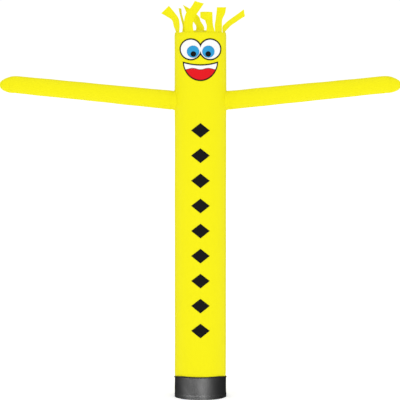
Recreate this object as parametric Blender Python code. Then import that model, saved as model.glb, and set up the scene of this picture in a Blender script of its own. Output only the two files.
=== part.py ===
"""Inflatable air dancer: a cloth tube with sleeves, ribbon hair, a sewn face and a base collar.

Metres, +Z up. The origin is the middle of the base ring on the ground, the face looks
towards -Y and the sleeves reach out along X. Every piece is blown up taut, as in use.
"""

import math
from collections import namedtuple

import bmesh
import bpy
import numpy as np

# The upright tube, nine inches across. An edge line of its facets runs down the very front.
TUBE_RADIUS = 0.115
TUBE_FOOT = 0.064
TUBE_TOP = 1.655
TUBE_RINGS = 13
SIDES = 48
CLOTH = 0.002
GAP = 0.0003

# The base collar, which the tube's foot is tucked into, and the tape over its top edge.
COLLAR_TOP = 0.0885
TAPE = 0.0015
TAPE_BELOW = 0.0055
TAPE_ABOVE = 0.004

# The crown panel closes the head. Its skirt turns down inside the tube, and its upper
# part is set back to leave room for the ribbons' roots, which are sewn in between.
CROWN_RISE = 0.0085
CROWN_BELOW_TOP = 0.0005
CROWN_SKIRT = 0.036
ROOT_DEPTH = 0.018
ROOT_ROOM = 0.0022

# The sleeves. Distances along a sleeve start from the tube's axis.
SLEEVE_RADIUS = 0.041
SLEEVE_TIP_RADIUS = 0.0362
SLEEVE_REACH = 0.9225
SLEEVE_HEIGHT = 1.336
SLEEVE_RISE = math.radians(5.7)
SLEEVE_TAPER_FROM = 0.58
SLEEVE_FLARE = 0.0035
SLEEVE_FLARE_LENGTH = 0.012
SLEEVE_SIDES = 24
SLEEVE_END_STEPS = 5
ARMHOLE_RADIUS = 0.036

# Sewn-on pieces: cut to front-view outlines and laid round the tube in layers.
APPLIQUE = 0.001
EYE_HEIGHT = 1.5815
EYE_SPREAD = 0.0425
EYE_RADIUS = 0.0492
EYE_BORDER = 0.004
IRIS_HEIGHT = 1.5712
IRIS_SPREAD = 0.0346
IRIS_RADIUS = 0.0268
PUPIL_HEIGHT = 1.5608
PUPIL_SPREAD = 0.033
PUPIL_RADIUS = 0.0118
MOUTH_HALF_WIDTH = 0.0775
MOUTH_HEIGHT = 1.5212
MOUTH_SAG = 0.012
MOUTH_DEPTH = 0.083
MOUTH_BORDER = 0.0045
LIP_GAP = 0.0008
TONGUE_HEIGHT = 1.4908
TONGUE_WAVE = 0.003
TONGUE_WAVE_LENGTH = 0.068

# The column of plain lozenges down the front.
LOZENGES = 9
LOZENGE_TOP = 1.2175
LOZENGE_BOTTOM = 0.3145
LOZENGE_HALF_WIDTH = 0.041
LOZENGE_HALF_HEIGHT = 0.033

# The hair. Around is the root's place in degrees from the front, positive towards +X.
# Lean is the tip's heading from upright, in front view. Turn is how far the tip is
# turned edge-on to the front. Stem and run say how long the ribbon keeps the root's
# heading and the tip's: the longer both are, the sharper the bend between them.
RIBBON = 0.0012
RIBBON_FREE = 0.007
RIBBON_STEPS = 9
Ribbon = namedtuple(
    "Ribbon", "around root_width tip_width tip_x tip_y tip_z lean turn stem run"
)
RIBBONS = (
    Ribbon(-70, 0.036, 0.047, -0.164, -0.052, 1.763, -52, 0, 1.0, 1.0),
    Ribbon(-143, 0.034, 0.040, -0.095, 0.116, 1.771, -14, 78, 0.5, 0.7),
    Ribbon(-30, 0.038, 0.047, -0.006, -0.113, 1.795, 34, 6, 1.5, 1.5),
    Ribbon(178, 0.036, 0.044, -0.080, 0.128, 1.779, -40, 66, 0.45, 0.7),
    Ribbon(24, 0.030, 0.042, -0.003, -0.126, 1.741, -90, 46, 1.6, 1.2),
    Ribbon(47, 0.034, 0.046, 0.096, -0.088, 1.774, 6, 5, 0.8, 0.75),
    Ribbon(79, 0.034, 0.044, 0.202, -0.028, 1.748, 56, 48, 0.4, 0.7),
)

# Colour and roughness of each cloth.
YELLOW = ("yellow_ripstop", (0.91, 0.85, 0.015), 0.5)
CHARCOAL = ("collar_cloth", (0.045, 0.045, 0.047), 0.6)
BLACK_TAPE = ("edge_tape", (0.012, 0.012, 0.013), 0.55)
BLACK = ("black_cloth", (0.012, 0.012, 0.012), 0.55)
WHITE = ("white_cloth", (0.88, 0.88, 0.88), 0.5)
BLUE = ("blue_cloth", (0.03, 0.33, 0.72), 0.5)
RED = ("red_cloth", (0.78, 0.02, 0.03), 0.5)


def clear_scene():
    """Remove whatever the start-up file holds."""
    for item in list(bpy.data.objects):
        bpy.data.objects.remove(item, do_unlink=True)


def cloth_material(cloth):
    """The Principled material of one cloth, made once."""
    name, colour, roughness = cloth
    material = bpy.data.materials.get(name)
    if material is None:
        material = bpy.data.materials.new(name)
        material.use_nodes = True
        shader = material.node_tree.nodes["Principled BSDF"]
        shader.inputs["Base Color"].default_value = (*colour, 1.0)
        shader.inputs["Roughness"].default_value = roughness
        shader.inputs["Metallic"].default_value = 0.0
    return material


def finish_object(name, shape, cloth):
    """Turn a bmesh into a named object with its cloth, smooth but for its sharp edges."""
    bmesh.ops.recalc_face_normals(shape, faces=shape.faces)
    mesh = bpy.data.meshes.new(name)
    shape.to_mesh(mesh)
    shape.free()
    mesh.shade_smooth()
    mesh.set_sharp_from_angle(angle=math.radians(40))
    mesh.materials.append(cloth_material(cloth))
    item = bpy.data.objects.new(name, mesh)
    bpy.context.scene.collection.objects.link(item)
    return item


def hide_helper(item):
    """Mark an object as a helper that only shapes another."""
    item.hide_render = True
    item.display_type = "WIRE"


def cut_away(item, helper):
    """Cut a helper's shape out of an object."""
    hide_helper(helper)
    modifier = item.modifiers.new("cut", "BOOLEAN")
    modifier.operation = "DIFFERENCE"
    modifier.solver = "EXACT"
    modifier.object = helper


def turned(name, profile, cloth, closed=True):
    """A piece turned about the tube's axis from a profile of (radius, height) points.

    A closed profile makes a ring. An open one starts and ends on the axis.
    """
    shape = bmesh.new()
    points = [shape.verts.new((radius, 0.0, height)) for radius, height in profile]
    pairs = list(zip(points, points[1:]))
    if closed:
        pairs.append((points[-1], points[0]))
    edges = [shape.edges.new(pair) for pair in pairs]
    bmesh.ops.spin(
        shape,
        geom=points + edges,
        cent=(0.0, 0.0, 0.0),
        axis=(0.0, 0.0, 1.0),
        angle=math.tau,
        steps=SIDES,
        use_merge=True,
    )
    bmesh.ops.remove_doubles(shape, verts=shape.verts, dist=1e-6)
    return finish_object(name, shape, cloth)


def rising(low, high, radius, count):
    """Profile points up a straight wall."""
    return [(radius, height) for height in np.linspace(low, high, count)]


def build_tube():
    """The tall open tube, with a round armhole in each side."""
    inner = TUBE_RADIUS - CLOTH
    outside = rising(TUBE_FOOT, TUBE_TOP, TUBE_RADIUS, TUBE_RINGS)
    inside = rising(TUBE_TOP, TUBE_FOOT, inner, TUBE_RINGS)
    tube = turned("body_tube", outside + inside, YELLOW)
    height = SLEEVE_HEIGHT + TUBE_RADIUS * math.tan(SLEEVE_RISE)
    shape = bmesh.new()
    bmesh.ops.create_cone(
        shape,
        cap_ends=True,
        segments=SLEEVE_SIDES,
        radius1=ARMHOLE_RADIUS,
        radius2=ARMHOLE_RADIUS,
        depth=4 * TUBE_RADIUS,
    )
    cutter = finish_object("armhole_cutter", shape, YELLOW)
    cutter.rotation_euler = (0.0, math.radians(90), 0.0)
    cutter.location = (0.0, 0.0, height)
    cut_away(tube, cutter)


def build_base():
    """The base collar, a plain dark band, and the tape folded over its top edge."""
    inner = TUBE_RADIUS + GAP
    outer = inner + CLOTH
    collar = rising(0.0, COLLAR_TOP, outer, 4) + rising(COLLAR_TOP, 0.0, inner, 4)
    turned("base_collar", collar, CHARCOAL)
    tape = [
        (outer + GAP, COLLAR_TOP - TAPE_BELOW),
        (outer + GAP + TAPE, COLLAR_TOP - TAPE_BELOW),
        (outer + GAP + TAPE, COLLAR_TOP + TAPE_ABOVE),
        (inner, COLLAR_TOP + TAPE_ABOVE),
        (inner, COLLAR_TOP + GAP),
        (outer + GAP, COLLAR_TOP + GAP),
    ]
    turned("collar_tape", tape, BLACK_TAPE)


def build_crown():
    """The panel that closes the head: a shallow dome whose edge turns down as a skirt."""
    wide = TUBE_RADIUS - CLOTH - GAP
    narrow = TUBE_RADIUS - CLOTH - ROOT_ROOM
    top = TUBE_TOP - CROWN_BELOW_TOP
    step = TUBE_TOP - ROOT_DEPTH - GAP
    foot = TUBE_TOP - CROWN_SKIRT
    edge = top - CROWN_RISE - CLOTH
    places = np.linspace(0.0, 1.0, 6)
    over = narrow - CLOTH
    under = over - CLOTH
    outside = [(over * p, top - CROWN_RISE * p**4) for p in places]
    outside += [(narrow, edge), (narrow, step), (wide, step), (wide, foot)]
    inside = [(wide - CLOTH, foot), (wide - CLOTH, step - CLOTH)]
    inside += [(over, step - CLOTH), (over, edge - CLOTH)]
    inside += [(under * p, top - CLOTH - CROWN_RISE * p**4) for p in places[::-1]]
    turned("crown_panel", outside + inside, YELLOW, closed=False)


def unit(vectors):
    """The same directions at length one, row by row."""
    return vectors / np.linalg.norm(vectors, axis=-1, keepdims=True)


def ribbon_skins(ribbon):
    """Two grids of points, the ribbon's two faces, from its root to its tip.

    The middle line stands upright at the root and then bends to the tip. The width
    turns from the ring's own direction to the tip's, and the ring's curve fades out.
    """
    radius = TUBE_RADIUS - CLOTH - ROOT_ROOM + GAP + RIBBON / 2
    around = math.radians(ribbon.around)
    lean = math.radians(ribbon.lean)
    turn = math.radians(ribbon.turn)
    free = TUBE_TOP + RIBBON_FREE
    root = np.array([radius * math.sin(around), -radius * math.cos(around), free])
    tip = np.array([ribbon.tip_x, ribbon.tip_y, ribbon.tip_z])
    span = np.linalg.norm(tip - root)
    root_pull = ribbon.stem * span
    tip_pull = ribbon.run * span
    up = np.array([0.0, 0.0, 1.0])
    heading = np.array([math.sin(lean), 0.0, math.cos(lean)])
    root_edge = np.array([math.cos(around), math.sin(around), 0.0])
    flat_edge = np.array([math.cos(lean), 0.0, -math.sin(lean)])
    tip_edge = math.cos(turn) * flat_edge + math.sin(turn) * np.array([0.0, 1.0, 0.0])
    tip_edge = tip_edge * np.sign(tip_edge @ root_edge)
    t = np.linspace(0.0, 1.0, RIBBON_STEPS)[:, None]
    ease = t * t * (3 - 2 * t)
    path = root + (tip - root) * ease
    path = path + root_pull * (t**3 - 2 * t**2 + t) * up
    path = path + tip_pull * (t**3 - t**2) * heading
    along = 6 * (t - t * t) * (tip - root) + root_pull * (3 * t**2 - 4 * t + 1) * up
    along = unit(along + tip_pull * (3 * t**2 - 2 * t) * heading)
    foot = TUBE_TOP - ROOT_DEPTH
    stem = np.array([[root[0], root[1], foot], [root[0], root[1], TUBE_TOP]])
    path = np.vstack([stem, path])
    along = np.vstack([up, up, along])
    ease = np.vstack([[0.0], [0.0], ease])
    edge = root_edge * (1 - ease) + tip_edge * ease
    edge = unit(edge - along * (edge * along).sum(axis=1, keepdims=True))
    inward = np.cross(along, edge)
    width = ribbon.root_width + (ribbon.tip_width - ribbon.root_width) * ease
    across = np.linspace(-0.5, 0.5, 5) * width
    bow = (1 - 0.7 * ease) * across**2 / (2 * radius)
    middle = path[:, None] + across[..., None] * edge[:, None]
    middle = middle + bow[..., None] * inward[:, None]
    lift = inward[:, None] * RIBBON / 2
    return middle - lift, middle + lift


def add_skins(shape, front, back):
    """Close two matching grids of points into one thin solid."""
    rows, columns = front.shape[:2]
    a = [[shape.verts.new(point) for point in row] for row in front]
    b = [[shape.verts.new(point) for point in row] for row in back]
    for i in range(rows - 1):
        for j in range(columns - 1):
            shape.faces.new((a[i][j], a[i][j + 1], a[i + 1][j + 1], a[i + 1][j]))
            shape.faces.new((b[i][j], b[i + 1][j], b[i + 1][j + 1], b[i][j + 1]))
    rim = [(0, j) for j in range(columns)]
    rim += [(i, columns - 1) for i in range(1, rows)]
    rim += [(rows - 1, j) for j in range(columns - 2, -1, -1)]
    rim += [(i, 0) for i in range(rows - 2, 0, -1)]
    for (i, j), (k, m) in zip(rim, rim[1:] + rim[:1]):
        shape.faces.new((a[i][j], b[i][j], b[k][m], a[k][m]))


def build_hair():
    """The ribbons, each with its root sewn in between the tube's top and the crown."""
    for number, ribbon in enumerate(RIBBONS, 1):
        shape = bmesh.new()
        add_skins(shape, *ribbon_skins(ribbon))
        finish_object(f"hair_ribbon_{number}", shape, YELLOW)


def sleeve_sections():
    """Distance along the sleeve and radius of each section past its root."""
    centre = SLEEVE_REACH - SLEEVE_TIP_RADIUS
    flare_end = TUBE_RADIUS + SLEEVE_FLARE_LENGTH
    straight = np.concatenate(
        ([flare_end, 0.145, 0.25, 0.36, 0.47], np.linspace(SLEEVE_TAPER_FROM, centre, 6))
    )
    taper = np.clip((straight - SLEEVE_TAPER_FROM) / (centre - SLEEVE_TAPER_FROM), 0, 1)
    taper = taper * taper * (3 - 2 * taper)
    radii = SLEEVE_RADIUS - (SLEEVE_RADIUS - SLEEVE_TIP_RADIUS) * taper
    turns = np.radians(90) * np.arange(1, SLEEVE_END_STEPS) / SLEEVE_END_STEPS
    ends = centre + SLEEVE_TIP_RADIUS * np.sin(turns)
    return np.append(straight, ends), np.append(radii, SLEEVE_TIP_RADIUS * np.cos(turns))


def sleeve_skin(side, inset):
    """Rings of points for one skin of a sleeve, and its end point.

    The first ring is the root, which follows the tube's wall.
    """
    distances, radii = sleeve_sections()
    centre = SLEEVE_REACH - SLEEVE_TIP_RADIUS
    rounded = np.clip((distances - centre) / SLEEVE_TIP_RADIUS, 0, 1)
    distances = distances - inset * rounded
    radii = radii - inset * np.sqrt(1 - rounded**2)
    angle = np.arange(SLEEVE_SIDES) * math.tau / SLEEVE_SIDES
    cos_rise = math.cos(SLEEVE_RISE)
    sin_rise = math.sin(SLEEVE_RISE)
    root_radius = SLEEVE_RADIUS + SLEEVE_FLARE - inset
    seat = TUBE_RADIUS + GAP
    seat_x = np.sqrt(seat**2 - (root_radius * np.cos(angle)) ** 2)
    root = (seat_x + root_radius * np.sin(angle) * sin_rise) / cos_rise
    along = np.vstack([root, np.repeat(distances[:, None], SLEEVE_SIDES, axis=1)])
    radius = np.append(root_radius, radii)[:, None]
    up = radius * np.sin(angle)
    x = side * (along * cos_rise - up * sin_rise)
    y = radius * np.cos(angle)
    z = SLEEVE_HEIGHT + along * sin_rise + up * cos_rise
    tip = SLEEVE_REACH - inset
    end = (side * tip * cos_rise, 0.0, SLEEVE_HEIGHT + tip * sin_rise)
    return np.stack([x, y, z], axis=-1), end


def build_sleeve(name, side):
    """One long sleeve: open at its root on the armhole, closed and round at its end."""
    shape = bmesh.new()
    roots = []
    for inset in (0.0, CLOTH):
        rings, end = sleeve_skin(side, inset)
        rows = [[shape.verts.new(point) for point in ring] for ring in rings]
        for low, high in zip(rows, rows[1:]):
            for i in range(SLEEVE_SIDES):
                j = (i + 1) % SLEEVE_SIDES
                shape.faces.new((low[i], low[j], high[j], high[i]))
        pole = shape.verts.new(end)
        for i in range(SLEEVE_SIDES):
            shape.faces.new((rows[-1][i], rows[-1][(i + 1) % SLEEVE_SIDES], pole))
        roots.append(rows[0])
    for i in range(SLEEVE_SIDES):
        j = (i + 1) % SLEEVE_SIDES
        shape.faces.new((roots[0][i], roots[0][j], roots[1][j], roots[1][i]))
    finish_object(name, shape, YELLOW)


def depth_on_facet(x):
    """How far in front of the axis the tube's facets lie at x, as a y value."""
    step = math.tau / SIDES
    low = math.floor(math.asin(x / TUBE_RADIUS) / step) * step
    high = low + step
    share = x / TUBE_RADIUS - math.sin(low)
    share /= math.sin(high) - math.sin(low)
    return -TUBE_RADIUS * (math.cos(low) + share * (math.cos(high) - math.cos(low)))


def sew_on(name, outline, layer, cloth):
    """One cloth piece cut to a front-view outline and laid round the tube's facets.

    Layer 0 lies on the tube, and each further one on the one before.
    """
    shape = bmesh.new()
    face = shape.faces.new([shape.verts.new((x, 0.0, z)) for x, z in outline])
    grown = bmesh.ops.extrude_face_region(shape, geom=[face])["geom"]
    raised = [item for item in grown if isinstance(item, bmesh.types.BMVert)]
    bmesh.ops.translate(shape, vec=(0.0, -1.0, 0.0), verts=raised)
    reach = max(abs(x) for x, _ in outline)
    for column in range(1 - SIDES // 4, SIDES // 4):
        x = TUBE_RADIUS * math.sin(column * math.tau / SIDES)
        if abs(x) < reach:
            bmesh.ops.bisect_plane(
                shape,
                geom=shape.verts[:] + shape.edges[:] + shape.faces[:],
                dist=1e-6,
                plane_co=(x, 0.0, 0.0),
                plane_no=(1.0, 0.0, 0.0),
            )
    lift = GAP + layer * (APPLIQUE + GAP)
    for vertex in shape.verts:
        scale = 1 + (lift - vertex.co.y * APPLIQUE) / TUBE_RADIUS
        y = depth_on_facet(vertex.co.x)
        vertex.co = (vertex.co.x * scale, y * scale, vertex.co.z)
    finish_object(name, shape, cloth)


def circle(x, z, radius, count):
    """A round outline."""
    turns = np.arange(count) * math.tau / count
    return [(x + radius * math.cos(t), z + radius * math.sin(t)) for t in turns]


def joined_circles(radius, count):
    """The outline round both eyes: two circles that run into each other."""
    meet = math.acos(-EYE_SPREAD / radius)
    turns = np.linspace(-meet, meet, count)
    right = [(EYE_SPREAD + radius * math.cos(t), radius * math.sin(t)) for t in turns]
    right[0] = (0.0, right[0][1])
    right[-1] = (0.0, right[-1][1])
    left = [(-x, z) for x, z in right[-2:0:-1]]
    return [(x, EYE_HEIGHT + z) for x, z in right + left]


def between(upper, lower, half_width, count):
    """The even-sided outline between two curves, out to where they meet."""
    trial = np.linspace(0.0, half_width, 4001)
    apart = upper(trial) > lower(trial)
    reach = trial[apart].max()
    x = reach * np.sin(np.linspace(-math.pi / 2, math.pi / 2, count))
    over = list(zip(x, upper(x)))
    under = list(zip(x, lower(x)))
    return over + under[-2:0:-1]


def mouth_top(inset):
    """The upper edge of the smile, drawn in by an inset."""
    return lambda x: MOUTH_HEIGHT - inset - MOUTH_SAG * (1 - (x / MOUTH_HALF_WIDTH) ** 2)


def mouth_bottom(inset):
    """The lower edge of the smile, half an oval, drawn in by an inset."""
    width = MOUTH_HALF_WIDTH - inset
    depth = MOUTH_DEPTH - inset
    return lambda x: MOUTH_HEIGHT - depth * np.sqrt(np.clip(1 - (x / width) ** 2, 0, 1))


def tongue_top(offset):
    """The wavy line between teeth and tongue, moved up by an offset."""
    turn = math.tau / TONGUE_WAVE_LENGTH
    return lambda x: TONGUE_HEIGHT + offset - TONGUE_WAVE * np.cos(turn * x)


def build_face():
    """Plain round eyes and an open smile, sewn on in layers."""
    sew_on("eye_border", joined_circles(EYE_RADIUS, 25), 0, BLACK)
    sew_on("eye_whites", joined_circles(EYE_RADIUS - EYE_BORDER, 25), 1, WHITE)
    for word, side in (("left", -1), ("right", 1)):
        iris = circle(side * IRIS_SPREAD, IRIS_HEIGHT, IRIS_RADIUS, 20)
        sew_on(f"iris_{word}", iris, 2, BLUE)
        pupil = circle(side * PUPIL_SPREAD, PUPIL_HEIGHT, PUPIL_RADIUS, 14)
        sew_on(f"pupil_{word}", pupil, 3, BLACK)
    width = MOUTH_HALF_WIDTH
    inner = width - MOUTH_BORDER
    mouth = between(mouth_top(0), mouth_bottom(0), width, 19)
    sew_on("mouth_border", mouth, 0, BLACK)
    low = mouth_bottom(MOUTH_BORDER)
    split = tongue_top(LIP_GAP)
    teeth = between(
        mouth_top(MOUTH_BORDER), lambda x: np.maximum(low(x), split(x)), inner, 19
    )
    sew_on("teeth", teeth, 1, WHITE)
    sew_on("tongue", between(tongue_top(-LIP_GAP), low, inner, 19), 1, RED)


def build_lozenges():
    """The evenly spaced column of plain lozenges down the front."""
    for number, z in enumerate(np.linspace(LOZENGE_TOP, LOZENGE_BOTTOM, LOZENGES), 1):
        outline = [
            (LOZENGE_HALF_WIDTH, z),
            (0.0, z + LOZENGE_HALF_HEIGHT),
            (-LOZENGE_HALF_WIDTH, z),
            (0.0, z - LOZENGE_HALF_HEIGHT),
        ]
        sew_on(f"lozenge_{number}", outline, 0, BLACK)


def main():
    """Build every piece."""
    clear_scene()
    build_tube()
    build_base()
    build_crown()
    build_hair()
    build_sleeve("sleeve_left", -1)
    build_sleeve("sleeve_right", 1)
    build_face()
    build_lozenges()


main()
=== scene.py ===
"""Looks of a small inflatable air dancer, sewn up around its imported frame.

Metres, +Z up. The origin is the middle of the base ring on the ground, the face looks
towards -Y and the sleeves reach out along X. Each class is one sub-assembly: it holds
the sizes that its maker would write on the cutting list, and makes and dresses its cloth.
"""

from __future__ import annotations

import logging
import math
from collections.abc import Callable, Sequence
from dataclasses import dataclass
from enum import Enum

import bmesh
import bpy
import numpy as np
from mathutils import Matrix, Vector

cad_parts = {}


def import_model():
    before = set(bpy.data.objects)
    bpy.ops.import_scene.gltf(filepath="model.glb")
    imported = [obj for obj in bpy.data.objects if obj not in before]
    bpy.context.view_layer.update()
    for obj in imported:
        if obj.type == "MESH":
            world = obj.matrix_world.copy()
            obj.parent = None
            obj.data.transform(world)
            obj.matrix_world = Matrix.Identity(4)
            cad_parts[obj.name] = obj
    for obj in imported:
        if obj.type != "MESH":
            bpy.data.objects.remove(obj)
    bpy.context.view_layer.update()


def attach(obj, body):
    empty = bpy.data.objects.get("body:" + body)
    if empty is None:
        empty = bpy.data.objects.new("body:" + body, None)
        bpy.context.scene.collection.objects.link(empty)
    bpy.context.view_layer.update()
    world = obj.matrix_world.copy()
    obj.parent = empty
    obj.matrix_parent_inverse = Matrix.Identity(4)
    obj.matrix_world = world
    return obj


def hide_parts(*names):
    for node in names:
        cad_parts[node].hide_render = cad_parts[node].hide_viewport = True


Array = np.ndarray
Curve = Callable[[Array], Array]
Surface = Callable[[Array, Array], Array]
Edge = tuple[tuple[float, float], ...]
Colour = tuple[float, float, float]
Spot = tuple[float, float, float]

LOG = logging.getLogger("air_dancer")
BODY = "root"
CLOTH_MAP = "cloth"
SHARP_EDGE = math.radians(50)
MERGE = 1e-6
QUARTER = math.pi / 2
BLACK = (0.0, 0.0, 0.0, 1.0)
WHITE = (1.0, 1.0, 1.0, 1.0)


class Held(Enum):
    """How a piece of cloth is held in use."""

    STRETCHED = "stretched"
    HUNG = "hung"
    FOLDED = "folded"


# Shader nodes


class Graph:
    """Writes the nodes of a shader tree.

    The two numbers of a Mix node's colour inputs and the number of its colour output
    count the sockets of all the kinds that the node can mix.
    """

    mix_colours = (6, 7)
    mix_result = 2

    def __init__(self, tree: bpy.types.NodeTree) -> None:
        """Take the tree that the nodes go into.

        Args:
            tree: the node tree of a material or a world.
        """
        self.tree = tree

    def plug(self, node: bpy.types.Node, socket: str | int, value: object) -> None:
        """Link a socket to a node's input, or set the input to a plain value.

        Args:
            node: the node that takes the value.
            socket: the input's name or number.
            value: an output socket, a number or a colour.
        """
        if isinstance(value, bpy.types.NodeSocket):
            self.tree.links.new(value, node.inputs[socket])
        else:
            node.inputs[socket].default_value = value

    def maths(self, operation: str, first: object, second: object = 0.0) -> bpy.types.NodeSocket:
        """One Math node.

        Args:
            operation: the node's operation.
            first: the first value or socket.
            second: the second value or socket.

        Returns:
            The result's socket.
        """
        node = self.tree.nodes.new("ShaderNodeMath")
        node.operation = operation
        self.plug(node, 0, first)
        self.plug(node, 1, second)
        return node.outputs[0]

    def spread(
        self, value: object, low: float, high: float, to_low: float, to_high: float
    ) -> bpy.types.NodeSocket:
        """A clamped Map Range node.

        Args:
            value: what is mapped.
            low: the value that becomes to_low.
            high: the value that becomes to_high.
            to_low: the result at low.
            to_high: the result at high.

        Returns:
            The result's socket.
        """
        node = self.tree.nodes.new("ShaderNodeMapRange")
        for number, setting in enumerate((value, low, high, to_low, to_high)):
            self.plug(node, number, setting)
        return node.outputs[0]

    def noise(self, vector: object, scale: float, detail: float = 2.0) -> bpy.types.NodeSocket:
        """A noise from 0 to 1.

        Args:
            vector: where the noise is read.
            scale: the noise's waves per metre.
            detail: how many finer layers are added.

        Returns:
            The noise's socket.
        """
        node = self.tree.nodes.new("ShaderNodeTexNoise")
        self.plug(node, "Vector", vector)
        self.plug(node, "Scale", scale)
        self.plug(node, "Detail", detail)
        return node.outputs[0]

    def tint(self, share: object, first: object, second: object) -> bpy.types.NodeSocket:
        """A mix of two colours.

        Args:
            share: how much of the second colour shows, 0 to 1.
            first: the first colour or socket.
            second: the second colour or socket.

        Returns:
            The colour's socket.
        """
        node = self.tree.nodes.new("ShaderNodeMix")
        node.data_type = "RGBA"
        self.plug(node, 0, share)
        for number, colour in zip(self.mix_colours, (first, second)):
            self.plug(node, number, colour)
        return node.outputs[self.mix_result]


class Weaver(Graph):
    """Writes the shader nodes of one material."""

    def __init__(self, name: str) -> None:
        """Make the material and find its Principled shader.

        Args:
            name: the material's name.
        """
        self.material = bpy.data.materials.new(name)
        self.material.use_nodes = True
        super().__init__(self.material.node_tree)
        self.shader = self.tree.nodes["Principled BSDF"]

    def place(self) -> bpy.types.NodeSocket:
        """The point in the frame, in metres."""
        return self.tree.nodes.new("ShaderNodeTexCoord").outputs["Object"]

    def threads(self) -> tuple[bpy.types.NodeSocket, bpy.types.NodeSocket, bpy.types.NodeSocket]:
        """The cloth's own map.

        Returns:
            The map, and the distances along the weft and the warp in metres.
        """
        node = self.tree.nodes.new("ShaderNodeUVMap")
        node.uv_map = CLOTH_MAP
        parts = self.tree.nodes.new("ShaderNodeSeparateXYZ")
        self.plug(parts, 0, node.outputs[0])
        return node.outputs[0], parts.outputs[0], parts.outputs[1]

    def raise_by(self, height: object, depth: float) -> None:
        """Bump the surface.

        Args:
            height: the height's socket, about 0 to 1.
            depth: how high one is, in metres.
        """
        node = self.tree.nodes.new("ShaderNodeBump")
        self.plug(node, "Strength", 1.0)
        self.plug(node, "Distance", depth)
        self.plug(node, "Height", height)
        self.plug(self.shader, "Normal", node.outputs[0])


def shaded(colour: Colour, share: float) -> tuple[float, float, float, float]:
    """A colour scaled by a share, with full alpha."""
    return (*(channel * share for channel in colour), 1.0)


@dataclass(frozen=True)
class ClothFinish:
    """One woven cloth: its colour, weave, ribs, gloss and wear.

    Lengths are in metres. A rib is one of the stouter threads that cross ripstop cloth,
    and its edge is where it starts to fall and where it ends, as shares of its width. The
    weave height is the threads' height as a share of a rib's. The two noises have waves
    per metre and shares of the mottle. The play is how far the roughness strays while the
    fine noise goes through the played range.
    """

    name: str
    slot: str
    colour: Colour
    roughness: float = 0.52
    gloss: float = 0.08
    sheen: float = 0.0
    thread: float = 0.00045
    rib: float = 0.0055
    rib_width: float = 0.0007
    rib_edge: tuple[float, float] = (0.2, 0.6)
    rib_shade: float = 0.93
    depth: float = 0.00016
    mottle: float = 0.02
    weave_height: float = 0.45
    play: float = 0.06
    played: tuple[float, float] = (0.3, 0.7)
    broad_waves: float = 6.0
    broad_share: float = 0.7
    fine_waves: float = 900.0
    fine_share: float = 0.3

    def weave(self) -> bpy.types.Material:
        """The cloth's material, made once.

        The weave is the product of two sine waves, one along each thread direction. Ribs
        are the places near a whole number of rib spaces. Two noises, one broad and one
        fine, move the colour, and the fine one moves the roughness a little.

        Returns:
            The material.
        """
        known = bpy.data.materials.get(self.name)
        if known:
            return known
        weaver = Weaver(self.name)
        cloth, weft, warp = weaver.threads()
        wave = math.pi / self.thread
        crossing = weaver.maths(
            "MULTIPLY",
            weaver.maths("SINE", weaver.maths("MULTIPLY", weft, wave)),
            weaver.maths("SINE", weaver.maths("MULTIPLY", warp, wave)),
        )
        height = weaver.spread(crossing, -1.0, 1.0, 0.0, self.weave_height)
        broad = weaver.noise(weaver.place(), self.broad_waves)
        fine = weaver.noise(cloth, self.fine_waves, detail=1.0)
        mark = weaver.maths(
            "ADD",
            weaver.maths("MULTIPLY", broad, self.broad_share),
            weaver.maths("MULTIPLY", fine, self.fine_share),
        )
        dull, bright = shaded(self.colour, 1.0 - self.mottle), shaded(self.colour, 1.0 + self.mottle)
        hue = weaver.tint(mark, dull, bright)
        if self.rib:
            near = weaver.maths(
                "MINIMUM",
                weaver.maths("PINGPONG", weft, self.rib / 2),
                weaver.maths("PINGPONG", warp, self.rib / 2),
            )
            start, end = (self.rib_width * share for share in self.rib_edge)
            ribs = weaver.spread(near, start, end, 1.0, 0.0)
            height = weaver.maths("MAXIMUM", height, ribs)
            shadow = weaver.maths("MULTIPLY", ribs, 1.0 - self.rib_shade)
            hue = weaver.tint(shadow, hue, BLACK)
        smoothest, roughest = self.roughness - self.play, self.roughness + self.play
        rough = weaver.spread(fine, *self.played, smoothest, roughest)
        weaver.plug(weaver.shader, "Base Color", hue)
        weaver.plug(weaver.shader, "Roughness", rough)
        weaver.plug(weaver.shader, "Specular IOR Level", self.gloss)
        weaver.plug(weaver.shader, "Sheen Weight", self.sheen)
        weaver.raise_by(height, self.depth)
        return weaver.material


@dataclass(frozen=True)
class ThreadFinish:
    """Sewing thread: its colour, gloss and the twist that shows along it.

    The colour is darkened in the twist's hollows as painted shade and lightened on its crests as a
    painted highlight, by the two shares given.
    """

    name: str
    slot: str
    colour: Colour
    roughness: float = 0.6
    gloss: float = 0.2
    painted_shade_and_highlight: tuple[float, float] = (0.82, 1.04)
    twists: float = 1800.0
    depth: float = 0.0002

    def weave(self) -> bpy.types.Material:
        """The thread's material, made once, with a fine noise for the twist, its painted shade and
        highlight.

        Returns:
            The material.
        """
        known = bpy.data.materials.get(self.name)
        if known:
            return known
        weaver = Weaver(self.name)
        twist = weaver.noise(weaver.place(), self.twists, detail=1.0)
        # Painted shade in the twist's hollows and a painted highlight on its crests, following the
        # bump.
        hollow, crest = (shaded(self.colour, share) for share in self.painted_shade_and_highlight)
        weaver.plug(weaver.shader, "Base Color", weaver.tint(twist, hollow, crest))
        weaver.plug(weaver.shader, "Roughness", self.roughness)
        weaver.plug(weaver.shader, "Specular IOR Level", self.gloss)
        weaver.raise_by(twist, self.depth)
        return weaver.material


Finish = ClothFinish | ThreadFinish

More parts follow.
